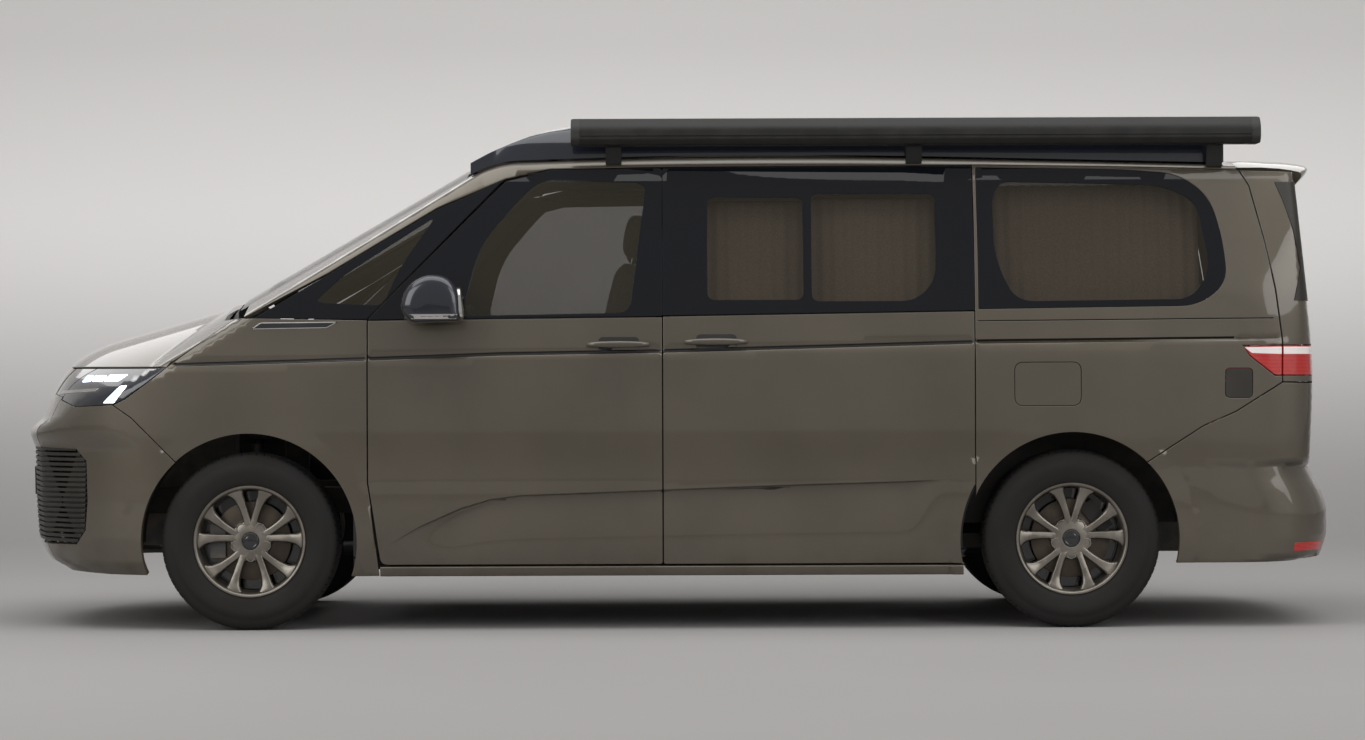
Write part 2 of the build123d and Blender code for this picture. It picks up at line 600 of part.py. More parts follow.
with BuildPart() as floor_pan:
    add(brick((FIREWALL_X, -CABIN_Y, FLOOR_LOW_Z + 60), (TAIL_X - 160, CABIN_Y, FLOOR_Z)))
    for y in (-RAIL_Y, RAIL_Y):
        add(brick((NOSE_X + 150, y - RAIL_W / 2, 430), (FIREWALL_X + 200, y + RAIL_W / 2, 530)))
    (engine_front, engine_left, engine_low), (engine_rear, engine_right, engine_top) = ENGINE
    for near, far in ((-RAIL_Y, engine_left - RUN_GAP), (engine_right + RUN_GAP, RAIL_Y)):
        add(brick((engine_front + 130, near, 440), (engine_front + 210, far, 500)))
    add(brick((FIREWALL_X - 30, -CABIN_Y, FLOOR_LOW_Z + 60), (FIREWALL_X, CABIN_Y, BELT_Z - 70)))
    for side in (-1, 1):
        inner, outer = sorted((side * (RAIL_Y + 20), side * (TOWER_Y + 50)))
        add(brick((FRONT_X - 90, inner, TOWER_Z), (FRONT_X + 90, outer, TOWER_Z + 14)))
        inner, outer = sorted((side * (RAIL_Y - 10), side * (RAIL_Y + 20)))
        add(brick((FRONT_X - 90, inner, 500), (FRONT_X + 90, outer, TOWER_Z + 14)))
    for side in (-1, 1):
        inner, outer = sorted((side * (REAR_TUB_Y - 30), side * SPAN))
        add(brick((REAR_X - 520, inner, 0), (REAR_X + 520, outer, FLOOR_Z + 400)), mode=Mode.SUBTRACT)
with BuildPart() as rear_tub:
    add(flank_cylinder(REAR_X, ARCH_R + ARCH_GROW + 25, REAR_TUB_Y - 30, CABIN_Y + 30))
    add(flank_cylinder(REAR_X, ARCH_R + ARCH_GROW + 5, REAR_TUB_Y, SPAN), mode=Mode.SUBTRACT)
    add(brick((REAR_X - SPAN, -SPAN, -SPAN), (REAR_X + SPAN, 0, FLOOR_LOW_Z + 60)), mode=Mode.SUBTRACT)
with BuildPart() as side_floor:
    for low_x, high_x in ((REAR_X - 520, REAR_X - ARCH_R - ARCH_GROW - 10), (REAR_X + ARCH_R + ARCH_GROW + 10, REAR_X + 520)):
        add(brick((low_x, -CABIN_Y, FLOOR_LOW_Z + 60), (high_x, -(REAR_TUB_Y - 30), FLOOR_Z)))
with BuildPart() as floor_shell:
    add(floor_pan.part)
    add(pair(rear_tub.part))
    add(pair(side_floor.part))
    for x in (FRONT_X,):
        add(pair(flank_cylinder(x, ARCH_R + ARCH_GROW + LINER_T + SEAM, 560, SPAN)), mode=Mode.SUBTRACT)
    add(FRAME_IN, mode=Mode.INTERSECT)
write(floor_shell.part, "floor_pan")

# Wheel arch liners of the front arches
with BuildPart() as liner:
    add(flank_cylinder(FRONT_X, ARCH_R + ARCH_GROW + LINER_T, 700, SPAN))
    add(flank_cylinder(FRONT_X, ARCH_R + ARCH_GROW, 0, SPAN), mode=Mode.SUBTRACT)
    add(brick((FRONT_X - SPAN, -SPAN, -SPAN), (FRONT_X + SPAN, 0, FLOOR_LOW_Z)), mode=Mode.SUBTRACT)
    add(body_block(BUMPER_T + SEAM), mode=Mode.INTERSECT)
write(pair(liner.part), "wheel_arch_liners")

# Front subframe with lower arms, springs and strut rods
ARM_Z = 158
ARM_T = 18
with BuildPart() as subframe_half:
    add(brick((FRONT_X - 110, -330, 205), (FRONT_X + 190, 0, 262)))
    with BuildSketch(Plane.XY.offset(ARM_Z)):
        with BuildLine():
            Polyline(
                (FRONT_X - 90, -300), (FRONT_X - 28, -KINGPIN_LOW_Y - 10), (FRONT_X + 28, -KINGPIN_LOW_Y - 10),
                (FRONT_X + 170, -300), (FRONT_X - 90, -300),
            )
        make_face()
    extrude(amount=ARM_T)
    add(brick((FRONT_X - 90, -330, ARM_Z), (FRONT_X + 170, -290, 210)))
    add(along_kingpin(SPRING_R, STRUT_TOP_Z + 14, TOWER_Z - 14))
    add(along_kingpin(SPRING_R - 14, STRUT_TOP_Z + 14, TOWER_Z))
    add(along_kingpin(STRUT_R - 10, STRUT_TOP_Z + RUN_GAP, STRUT_TOP_Z + 20))
    add(brick((NOSE_X, -SPAN, TOWER_Z - RUN_GAP), (TAIL_X, 0, ROOF_Z)), mode=Mode.SUBTRACT)
write(pair(subframe_half.part), "front_subframe")

# Engine and gearbox, one plain block across the nose, on its mounts
write(brick(*ENGINE), "engine_block")

# Knuckles: hub carrier, upright, strut tube, steering arm, caliper and spindle
HUB_FACE_Y = WHEEL_Y - 22
CARRIER_Y = 740
caliper_angles = {"front": 180, "rear": 40}


def caliper(x, angle):
    """Brake caliper that straddles the left disc."""
    with BuildPart() as body:
        with BuildSketch(Plane.XZ.offset(WHEEL_Y - 62)):
            with Locations(Location((x, TYRE_R, 0), (0, 0, angle))):
                with Locations((DISC_R - 22, 0)):
                    Rectangle(58, 128)
        extrude(amount=96)
        with BuildSketch(Plane.XZ.offset(HUB_FACE_Y - 6)):
            with Locations((x, TYRE_R)):
                Circle(DISC_R + 4)
        extrude(amount=34, mode=Mode.SUBTRACT)
    return body.part


with BuildPart() as knuckle:
    add(flank_cylinder(FRONT_X, 52, CARRIER_Y - 30, HUB_FACE_Y - 24))
    add(along_kingpin(28, KINGPIN_LOW_Z, 470))
    add(along_kingpin(STRUT_R, 460, STRUT_TOP_Z))
    add(flank_cylinder(FRONT_X, SPINDLE_R, CARRIER_Y, WHEEL_Y + 40))
    add(brick((FRONT_X, -CARRIER_Y + 10, 270), (FRONT_X + 130, -CARRIER_Y + 34, 300)))
    add(brick((FRONT_X - 150, -CARRIER_Y - 14, TYRE_R - 40), (FRONT_X - 20, -CARRIER_Y + 10, TYRE_R + 40)))
    add(brick((FRONT_X - 150, -WHEEL_Y + 40, TYRE_R - 40), (FRONT_X - 100, -CARRIER_Y + 10, TYRE_R + 40)))
    add(caliper(FRONT_X, caliper_angles["front"]))
    add(along_kingpin(18, ARM_Z + ARM_T + 5, KINGPIN_LOW_Z + 10))
for name, side in SIDES:
    write(on_side(knuckle.part, side), f"knuckle_{name}")

# Rear axle: crossmember, trailing arms, springs, dampers, hub carriers and calipers
with BuildPart() as rear_half:
    add(brick((REAR_X - 60, -620, TYRE_R - 38), (REAR_X + 60, 0, TYRE_R + 30)))
    add(brick((REAR_X - 420, -640, TYRE_R - 40), (REAR_X + 40, -570, TYRE_R + 10)))
    add(flank_cylinder(REAR_X, 50, 560, HUB_FACE_Y - 24))
    add(flank_cylinder(REAR_X, SPINDLE_R, CARRIER_Y - 30, WHEEL_Y + 40))
    with BuildSketch(Plane.XY.offset(TYRE_R + 10)):
        with Locations((REAR_X, -520)):
            Circle(62)
    extrude(amount=FLOOR_LOW_Z + 60 - TYRE_R - 10)
    add(brick((REAR_X + 20, -WHEEL_Y + 60, TYRE_R - 20), (REAR_X + 100, -CARRIER_Y + 20, TYRE_R + 90)))
    add(caliper(REAR_X, caliper_angles["rear"]))
write(pair(rear_half.part), "rear_axle")


def wheel_section(x):
    """Plane through the left axle at x: first axis across the van, second axis radial."""
    return Plane(origin=(x, -WHEEL_Y, TYRE_R), x_dir=(0, 1, 0), z_dir=(1, 0, 0))


def rim(x):
    """Left cast wheel at x: barrel, hub, five pairs of spokes, brake disc and its hat."""
    face = Plane(origin=(x, -WHEEL_Y, TYRE_R), x_dir=(1, 0, 0), z_dir=(0, -1, 0))
    half = TYRE_W / 2 - 8
    with BuildPart() as wheel:
        with BuildSketch(wheel_section(x)):
            with BuildLine():
                Polyline(
                    (-half, RIM_R), (-half + 8, RIM_R), (-half + 12, BEAD_R - RUN_GAP),
                    (half - 12, BEAD_R - RUN_GAP), (half - 8, RIM_R), (half, RIM_R),
                    (half, RIM_R - 12), (half - 30, BARREL_R), (-half + 30, BARREL_R),
                    (-half, RIM_R - 12), (-half, RIM_R),
                )
            make_face()
        revolve(axis=Axis((x, -WHEEL_Y, TYRE_R), (0, 1, 0)))
        with BuildSketch(face.offset(32)):
            Circle(74)
        extrude(amount=30)
        for count in range(SPOKE_PAIRS):
            for lean in (-SPOKE_SPREAD, SPOKE_SPREAD):
                angle = 90 + count * 360 / SPOKE_PAIRS
                with BuildSketch(face.offset(40)):
                    with BuildLine():
                        foot = [(60, angle + lean * 0.9, 15), (BARREL_R + 4, angle + lean, 13)]
                        ends = []
                        for radius, turn, width in foot:
                            for edge in (-width, width):
                                ends.append((
                                    radius * cos(radians(turn)) - edge * sin(radians(turn)),
                                    radius * sin(radians(turn)) + edge * cos(radians(turn)),
                                ))
                        Polyline(ends[0], ends[1], ends[3], ends[2], ends[0])
                    make_face()
                extrude(amount=28)
        with BuildSketch(face.offset(-22)):
            Circle(DISC_R)
        extrude(amount=22)
        with BuildSketch(face):
            Circle(76)
        extrude(amount=34)
        with BuildSketch(face.offset(-60)):
            Circle(SPINDLE_R + RUN_GAP)
        extrude(amount=102, mode=Mode.SUBTRACT)
        with BuildSketch(face.offset(46)):
            with PolarLocations(BOLT_CIRCLE_R, 5, start_angle=54):
                Circle(BOLT_HOLE_R)
        extrude(amount=30, mode=Mode.SUBTRACT)
        with BuildSketch(face.offset(60)):
            Circle(HUB_R)
        extrude(amount=8)
    return wheel.part


def tyre(x):
    """Left tyre at x, one closed ring."""
    half = TYRE_W / 2
    with BuildPart() as ring:
        with BuildSketch(wheel_section(x)):
            with BuildLine():
                Line((-half + 26, BEAD_R), (half - 26, BEAD_R))
                ThreePointArc((half - 26, BEAD_R), (half, 268), (half - 14, TYRE_R - 18))
                ThreePointArc((half - 14, TYRE_R - 18), (half - 22, TYRE_R - 6), (half - 36, TYRE_R))
                Line((half - 36, TYRE_R), (-half + 36, TYRE_R))
                ThreePointArc((-half + 36, TYRE_R), (-half + 22, TYRE_R - 6), (-half + 14, TYRE_R - 18))
                ThreePointArc((-half + 14, TYRE_R - 18), (-half, 268), (-half + 26, BEAD_R))
            make_face()
        revolve(axis=Axis((x, -WHEEL_Y, TYRE_R), (0, 1, 0)))
    return ring.part


for end, x in (("front", FRONT_X), ("rear", REAR_X)):
    left_rim, left_tyre = rim(x), tyre(x)
    for name, side in SIDES:
        write(on_side(left_rim, side), f"rim_{end}_{name}")
        write(on_side(left_tyre, side), f"tyre_{end}_{name}")

# Door mirrors
MIRROR_X = DOOR_FRONT_X + 175
with BuildPart() as mirror_housing:
    with BuildSketch(Plane.XZ.offset(HALF_WIDTH + 20)):
        with BuildLine():
            Polyline(
                (MIRROR_X - 45, 1215), (MIRROR_X - 20, 1305), (MIRROR_X + 60, 1352), (MIRROR_X + 140, 1340),
                (MIRROR_X + 190, 1285), (MIRROR_X + 196, 1168), (MIRROR_X, 1160), (MIRROR_X - 45, 1215),
            )
        make_face()
    extrude(amount=150, taper=8)
    with BuildSketch(Plane.XZ.offset(HALF_WIDTH - 32)):
        with Locations((MIRROR_X + 90, 1212)):
            Rectangle(90, 40)
    extrude(amount=80)
    add(body_block(-RUN_GAP), mode=Mode.SUBTRACT)
for name, side in SIDES:
    write(on_side(mirror_housing.part, side), f"mirror_{name}")

# Pop-up roof: a crowned pan over the fixed roof, and the folded canvas beneath it
PAN_FRONT_X = NOSE_X + 1770
PAN_REAR_X = TAILGATE_TOP_X - 44
PAN_TOP_Z = 1976
PAN_GAP = 8
PAN_Y = 752
PAN_T = 24


def pan_block(inset):
    """Closed block of the pop-up roof, its outer face moved inward by inset."""
    front_x, rear_x, half = PAN_FRONT_X + inset, PAN_REAR_X - inset, PAN_Y - inset
    top_z, low_z = PAN_TOP_Z - inset, RAIL_Z - 60
    with BuildPart() as block:
        with BuildSketch(Plane.XZ.offset(-half)):
            with BuildLine():
                Line((front_x, low_z), (front_x, RAIL_Z + 12))
                ThreePointArc((front_x, RAIL_Z + 12), (front_x + 300, top_z - 62), (front_x + 760, top_z - 12))
                ThreePointArc((front_x + 760, top_z - 12), (front_x + 1500, top_z), (rear_x - 200, top_z - 40))
                ThreePointArc((rear_x - 200, top_z - 40), (rear_x - 40, top_z - 70), (rear_x, top_z - 116))
                Polyline((rear_x, top_z - 116), (rear_x, low_z), (front_x, low_z))
            make_face()
        extrude(amount=2 * half)
        with BuildSketch(Plane.YZ.offset(front_x - 50)):
            with BuildLine():
                Line((-half, low_z), (-half, RAIL_Z + 50))
                ThreePointArc((-half, RAIL_Z + 50), (-half + 24, top_z - 70), (-half + 90, top_z - 40))
                ThreePointArc((-half + 90, top_z - 40), (0, top_z), (half - 90, top_z - 40))
                ThreePointArc((half - 90, top_z - 40), (half - 24, top_z - 70), (half, RAIL_Z + 50))
                Polyline((half, RAIL_Z + 50), (half, low_z), (-half, low_z))
            make_face()
        extrude(amount=rear_x - front_x + 100, mode=Mode.INTERSECT)
    return block.part


with BuildPart() as popup_roof:
    add(pan_block(0))
    add(pan_block(PAN_T), mode=Mode.SUBTRACT)
    add(body_block(-PAN_GAP), mode=Mode.SUBTRACT)
write(popup_roof.part, "popup_roof")

CANVAS_FRONT_X = PAN_FRONT_X + 330
CANVAS_REAR_X = PAN_REAR_X - 110
CANVAS_Y = PAN_Y - PAN_T - 22
CANVAS_FOLD = 26
with BuildPart() as roof_canvas:
    with BuildSketch(Plane.XY.offset(RAIL_Z - 60)):
        with Locations(((CANVAS_FRONT_X + CANVAS_REAR_X) / 2, 0)):
            Rectangle(CANVAS_REAR_X - CANVAS_FRONT_X, 2 * CANVAS_Y)
            Rectangle(CANVAS_REAR_X - CANVAS_FRONT_X - 2 * CANVAS_FOLD, 2 * (CANVAS_Y - CANVAS_FOLD), mode=Mode.SUBTRACT)
    extrude(amount=PAN_TOP_Z - RAIL_Z)
    add(body_block(-RUN_GAP), mode=Mode.SUBTRACT)
    add(pan_block(PAN_T + RUN_GAP), mode=Mode.INTERSECT)
write(roof_canvas.part, "roof_canvas")

# Awning case along the left roof rail, on its brackets
AWNING_LOW = (B_POST_X - 346, -930, 1838)
AWNING_HIGH = (REAR_X + 722, -815, 1941)
with BuildPart() as awning:
    with BuildSketch(Plane.YZ.offset(AWNING_LOW[0])):
        with BuildLine():
            Polyline(
                (AWNING_LOW[1] + 18, AWNING_LOW[2]), (AWNING_LOW[1], AWNING_LOW[2] + 22),
                (AWNING_LOW[1], AWNING_HIGH[2] - 36), (AWNING_LOW[1] + 34, AWNING_HIGH[2]),
                (AWNING_HIGH[1], AWNING_HIGH[2]), (AWNING_HIGH[1], AWNING_LOW[2]),
                (AWNING_LOW[1] + 18, AWNING_LOW[2]),
            )
        make_face()
    extrude(amount=AWNING_HIGH[0] - AWNING_LOW[0])
    for x in (AWNING_LOW[0] + 160, (AWNING_LOW[0] + AWNING_HIGH[0]) / 2, AWNING_HIGH[0] - 160):
        add(brick((x - 30, AWNING_HIGH[1] - 30, RAIL_Z - 26), (x + 30, AWNING_HIGH[1] + 42, AWNING_LOW[2] + 30)))
    add(body_block(-RUN_GAP), mode=Mode.SUBTRACT)
write(awning.part, "awning")

# Cabin furniture
DASH_X = FIREWALL_X + 10
with BuildPart() as dashboard:
    with BuildSketch(Plane.XZ.offset(-CABIN_Y + 30)):
        with BuildLine():
            Polyline(
                (FIREWALL_X + RUN_GAP, 760), (FIREWALL_X + RUN_GAP, 1130), (DASH_X + 120, 1175), (DASH_X + 330, 1150),
                (DASH_X + 370, 1080), (DASH_X + 300, 800), (DASH_X + 240, 700), (FIREWALL_X + RUN_GAP, 760),
            )
        make_face()
    extrude(amount=2 * (CABIN_Y - 30))
WHEEL_TILT = 28
STEER_HUB = (DASH_X + 440, -410, 1075)
steer_plane = Plane(origin=STEER_HUB, x_dir=(0, 1, 0), z_dir=(cos(radians(WHEEL_TILT)), 0, sin(radians(WHEEL_TILT))))
with BuildPart() as column:
    with BuildSketch(steer_plane.offset(-RUN_GAP)):
        Circle(30)
    extrude(amount=-150)
with BuildPart() as dash_and_column:
    add(dashboard.part)
    add(column.part)
write(dash_and_column.part, "dashboard")

with BuildPart() as steering_wheel:
    with BuildSketch(steer_plane):
        Circle(186)
        Circle(160, mode=Mode.SUBTRACT)
        Rectangle(330, 40)
        Circle(52)
    extrude(amount=24)
write(steering_wheel.part, "steering_wheel")

SEAT_X = DOOR_FRONT_X + 640
with BuildPart() as front_seat:
    add(brick((SEAT_X - 220, -620, FLOOR_Z), (SEAT_X + 200, -240, 640)))
    add(brick((SEAT_X - 270, -680, 640), (SEAT_X + 240, -180, 800)))
    with BuildSketch(Plane.XZ.offset(180)):
        with BuildLine():
            Polyline(
                (SEAT_X + 160, 800), (SEAT_X + 300, 1420), (SEAT_X + 420, 1420), (SEAT_X + 300, 640),
                (SEAT_X + 240, 640), (SEAT_X + 160, 800),
            )
        make_face()
    extrude(amount=500)
    add(brick((SEAT_X + 320, -540, 1410), (SEAT_X + 420, -320, 1600)))
write(pair(front_seat.part), "front_seats")

REAR_SEAT_X = REAR_X - 560
with BuildPart() as rear_seats:
    for y in (-120, 390):
        add(brick((REAR_SEAT_X - 200, y - 200, FLOOR_Z), (REAR_SEAT_X + 180, y + 200, 640)))
        add(brick((REAR_SEAT_X - 250, y - 235, 640), (REAR_SEAT_X + 220, y + 235, 790)))
        add(brick((REAR_SEAT_X + 180, y - 235, 700), (REAR_SEAT_X + 300, y + 235, 1380)))
        add(brick((REAR_SEAT_X + 190, y - 120, 1370), (REAR_SEAT_X + 290, y + 120, 1540)))
write(rear_seats.part, "rear_seats")

with BuildPart() as kitchen:
    add(brick((B_POST_X + 260, -CABIN_Y + 20, FLOOR_Z), (REAR_X - 470, -CABIN_Y + 440, 1140)))
write(kitchen.part, "kitchen_unit")

# Underbody: exhaust and fuel tank
with BuildPart() as exhaust:
    with BuildSketch(Plane.YZ.offset(FRONT_X + 260)):
        with Locations((150, 262)):
            Circle(28)
    extrude(amount=REAR_X + 440 - FRONT_X - 260)
    add(brick((REAR_X + 420, -120, 250), (REAR_X + 900, 330, FLOOR_LOW_Z + 60 - RUN_GAP)))
write(exhaust.part, "exhaust")
write(brick((B_POST_X + 60, -620, 215), (C_POST_X - 260, 80, FLOOR_LOW_Z + 60 - RUN_GAP)), "fuel_tank")
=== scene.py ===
"""Camper van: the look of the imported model, in metres, nose toward -X, left side toward -Y."""
import logging
import math
from dataclasses import dataclass
from enum import Enum
from functools import cache
from typing import Callable, Iterable, Sequence

import bmesh
import bpy
import numpy as np
from mathutils import Matrix, Vector
from mathutils.geometry import delaunay_2d_cdt


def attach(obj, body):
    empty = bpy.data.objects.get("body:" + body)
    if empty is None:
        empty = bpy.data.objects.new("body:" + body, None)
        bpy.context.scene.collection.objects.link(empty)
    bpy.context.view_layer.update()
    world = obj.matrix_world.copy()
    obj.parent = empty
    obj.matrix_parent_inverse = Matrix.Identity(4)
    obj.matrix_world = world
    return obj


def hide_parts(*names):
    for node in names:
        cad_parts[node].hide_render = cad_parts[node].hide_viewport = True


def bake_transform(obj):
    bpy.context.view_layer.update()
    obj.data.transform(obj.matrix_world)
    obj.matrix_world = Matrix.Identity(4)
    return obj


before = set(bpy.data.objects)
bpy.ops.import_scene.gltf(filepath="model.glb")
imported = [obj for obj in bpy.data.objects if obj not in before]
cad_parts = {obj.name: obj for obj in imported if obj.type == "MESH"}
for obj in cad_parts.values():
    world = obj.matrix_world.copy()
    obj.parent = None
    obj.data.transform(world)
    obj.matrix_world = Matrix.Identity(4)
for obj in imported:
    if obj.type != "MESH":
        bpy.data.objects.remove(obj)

LOG = logging.getLogger("camper_van")
Point = tuple[float, float]
Loop = Sequence[Sequence[float]]

NOSE, TAIL, HALF = -2.5865, 2.5865, 0.9705
FRONT, REAR, AXLE_Z, WHEEL_Y = -1.6215, 1.5025, 0.338, 0.822
DOOR_FRONT, B_POST, C_POST = -1.1695, -0.0505, 1.1345
GATE_TOP, GATE_LOW = 2.1505, 2.3035
BELT, DOOR_TOP, ROOF = 1.180, 1.758, 1.846
GAP = 0.0022
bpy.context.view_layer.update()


class Value:
    """A socket that can be written in expressions."""

    def __init__(self, maker: "Maker", socket: bpy.types.NodeSocket) -> None:
        """Keeps the socket and the material it belongs to."""
        self.maker, self.socket = maker, socket

    def math(self, operation: str, other: "Value | float | None" = None, swap: bool = False) -> "Value":
        """Adds one Math node.

        Args:
            operation: name of the sum.
            other: second operand, if the sum has one.
            swap: puts this socket second.

        Returns:
            The result.
        """
        pair = [self] if other is None else ([other, self] if swap else [self, other])
        return self.maker.node("ShaderNodeMath", {"operation": operation}, dict(enumerate(pair)))

    def __add__(self, other: "Value | float") -> "Value":
        """Sum."""
        return self.math("ADD", other)

    def __mul__(self, other: "Value | float") -> "Value":
        """Product."""
        return self.math("MULTIPLY", other)

    def __sub__(self, other: "Value | float") -> "Value":
        """Difference."""
        return self.math("SUBTRACT", other)

    def __rsub__(self, other: float) -> "Value":
        """Difference with this socket taken away."""
        return self.math("SUBTRACT", other, swap=True)

    __radd__ = __add__
    __rmul__ = __mul__

    def ramp(self, low: float, high: float, start: float = 0.0, end: float = 1.0) -> "Value":
        """Smooth step from start to end as this socket goes from low to high."""
        return self.maker.node("ShaderNodeMapRange", {"interpolation_type": "SMOOTHSTEP"},
                               {0: self, 1: low, 2: high, 3: start, 4: end})

    def tint(self, dark: Sequence[float], light: Sequence[float]) -> "Value":
        """Colour between two others, with this socket as the share of the second."""
        return self.maker.node("ShaderNodeMix", {"data_type": "RGBA"},
                               {0: self, 6: (*dark, 1.0), 7: (*light, 1.0)}, output=2)


class Maker:
    """Builds one material."""

    def __init__(self, name: str) -> None:
        """Starts a material with a Principled surface."""
        self.material = bpy.data.materials.new(name)
        self.material.use_nodes = True
        self.tree = self.material.node_tree
        self.surface = next(n for n in self.tree.nodes if n.type == "BSDF_PRINCIPLED")

    def put(self, socket: bpy.types.NodeSocket, value: "Value | float | Sequence[float]") -> None:
        """Sets or links one socket."""
        if isinstance(value, Value):
            self.tree.links.new(value.socket, socket)
        else:
            socket.default_value = value

    def node(self, kind: str, settings: dict | None = None, inputs: dict | None = None,
             output: int | str = 0) -> Value:
        """Adds a node.

        Args:
            kind: type of node.
            settings: properties, set first.
            inputs: values or sockets by name or number.
            output: number or name of the output to return.

        Returns:
            The chosen output.
        """
        made = self.tree.nodes.new(kind)
        for key, value in (settings or {}).items():
            setattr(made, key, value)
        for key, value in (inputs or {}).items():
            self.put(made.inputs[key], value)
        return Value(self, made.outputs[output])

    def place(self) -> Value:
        """Position on the piece, in metres."""
        return self.node("ShaderNodeTexCoord", output=3)

    def noise(self, scale: float, detail: float = 3.0, stretch: Sequence[float] = (1, 1, 1)) -> Value:
        """Cloudy value that stays with the piece."""
        spot = self.node("ShaderNodeVectorMath", {"operation": "MULTIPLY"}, {0: self.place(), 1: tuple(stretch)})
        return self.node("ShaderNodeTexNoise", None, {"Vector": spot, "Scale": scale, "Detail": detail})

    def cells(self, scale: float) -> Value:
        """Distance to the nearest of scattered points."""
        return self.node("ShaderNodeTexVoronoi", None, {"Vector": self.place(), "Scale": scale})

    def axis(self, number: int) -> Value:
        """One coordinate of the position, in metres."""
        return self.node("ShaderNodeSeparateXYZ", None, {0: self.place()}, output=number)

    def bump(self, height: Value, depth: float, strength: float = 1.0) -> None:
        """Feeds the surface normal from a height, in metres of depth."""
        self.put(self.surface.inputs["Normal"],
                 self.node("ShaderNodeBump", None, {"Height": height, "Distance": depth, "Strength": strength}))

    def set(self, **values: "Value | float | Sequence[float]") -> bpy.types.Material:
        """Sets sockets of the surface by name, with _ for a space, and returns the material."""
        for key, value in values.items():
            if not isinstance(value, Value) and isinstance(value, (tuple, list)) and len(value) == 3:
                value = (*value, 1.0)
            self.put(self.surface.inputs[key.replace("_", " ")], value)
        return self.material


@dataclass(frozen=True)
class CarPaint:
    """Metallic paint under clear coat, with a film of road dust low down."""

    name: str
    deep: Sequence[float]
    bright: Sequence[float]
    dust: Sequence[float] = (0.20, 0.17, 0.13)
    metal: float = 0.55
    rough: float = 0.34

    def make(self) -> bpy.types.Material:
        """Returns the material."""
        m = Maker(self.name)
        flake = m.cells(900.0).ramp(0.0, 0.6)
        cloud = m.noise(2.2, 4.0).ramp(0.3, 0.7)
        film = m.axis(2).ramp(0.18, 0.75, 1.0, 0.0) * m.noise(9.0, 6.0).ramp(0.35, 0.75) * 0.35
        base = (flake * 0.5 + cloud * 0.5).tint(self.deep, self.bright)
        colour = m.node("ShaderNodeMix", {"data_type": "RGBA"}, {0: film, 6: base, 7: (*self.dust, 1.0)}, output=2)
        m.bump(m.noise(420.0, 1.0), 0.00004, 0.35)
        return m.set(Base_Color=colour, Metallic=self.metal, Roughness=film * 0.8 + self.rough,
                     Coat_Weight=1.0 - film * 1.6, Coat_Roughness=0.035)


@dataclass(frozen=True)
class Moulding:
    """Moulded plastic or rubber with a fine grain."""

    name: str
    colour: Sequence[float]
    pale: Sequence[float]
    rough: float = 0.5
    grain: float = 700.0
    depth: float = 0.00025
    coat: float = 0.0

    def make(self) -> bpy.types.Material:
        """Returns the material."""
        m = Maker(self.name)
        wear = m.noise(6.0, 6.0).ramp(0.42, 0.8)
        m.bump(m.noise(self.grain, 2.0), self.depth, 0.6)
        return m.set(Base_Color=wear.tint(self.colour, self.pale), Roughness=wear * 0.15 + self.rough,
                     Coat_Weight=self.coat, Coat_Roughness=0.04)


@dataclass(frozen=True)
class Metal:
    """Painted, cast or bright metal."""

    name: str
    colour: Sequence[float]
    pale: Sequence[float]
    metal: float = 1.0
    rough: float = 0.35
    grain: float = 260.0
    depth: float = 0.0001
    coat: float = 0.0

    def make(self) -> bpy.types.Material:
        """Returns the material."""
        m = Maker(self.name)
        stain = m.noise(14.0, 6.0).ramp(0.35, 0.75)
        m.bump(m.noise(self.grain, 3.0), self.depth, 0.5)
        return m.set(Base_Color=stain.tint(self.colour, self.pale), Metallic=self.metal,
                     Roughness=stain * 0.12 + self.rough, Coat_Weight=self.coat, Coat_Roughness=0.08)


@dataclass(frozen=True)
class Pane:
    """Tinted glass."""

    name: str
    colour: Sequence[float]
    clear: float

    def make(self) -> bpy.types.Material:
        """Returns the material."""
        m = Maker(self.name)
        smear = m.noise(3.0, 5.0).ramp(0.4, 0.8)
        return m.set(Base_Color=self.colour, Roughness=smear * 0.03 + 0.01, Alpha=1.0 - smear * 0.03 - self.clear,
                     Specular_IOR_Level=0.36)


@dataclass(frozen=True)
class Lens:
    """Lamp lens, coloured or clear."""

    name: str
    colour: Sequence[float]
    deep: Sequence[float]
    glow: float = 0.0

    def make(self) -> bpy.types.Material:
        """Returns the material."""
        m = Maker(self.name)
        ribs = m.node("ShaderNodeTexWave", {"wave_type": "BANDS", "bands_direction": "Z"},
                      {"Vector": m.place(), "Scale": 60.0, "Distortion": 0.0})
        m.bump(ribs, 0.0006, 0.4)
        tint = ribs.tint(self.deep, self.colour)
        return m.set(Base_Color=tint, Roughness=0.12, Coat_Weight=1.0, Coat_Roughness=0.02,
                     Emission_Color=tint, Emission_Strength=self.glow)


@dataclass(frozen=True)
class Cloth:
    """Woven cloth with a slub."""

    name: str
    dark: Sequence[float]
    light: Sequence[float]
    threads: float = 420.0

    def make(self) -> bpy.types.Material:
        """Returns the material."""
        m = Maker(self.name)
        weave = None
        for direction in ("X", "Y", "Z"):
            wave = m.node("ShaderNodeTexWave", {"wave_type": "BANDS", "bands_direction": direction},
                          {"Vector": m.place(), "Scale": self.threads / 20, "Distortion": 1.2, "Detail": 2.0})
            weave = wave if weave is None else weave * wave
        melange = m.noise(160.0, 4.0).ramp(0.3, 0.7) * 0.7 + m.noise(3.0, 3.0) * 0.3
        m.bump(weave + melange * 0.4, 0.0005, 0.7)
        return m.set(Base_Color=melange.tint(self.dark, self.light), Roughness=weave * 0.1 + 0.82,
                     Sheen_Weight=0.25)


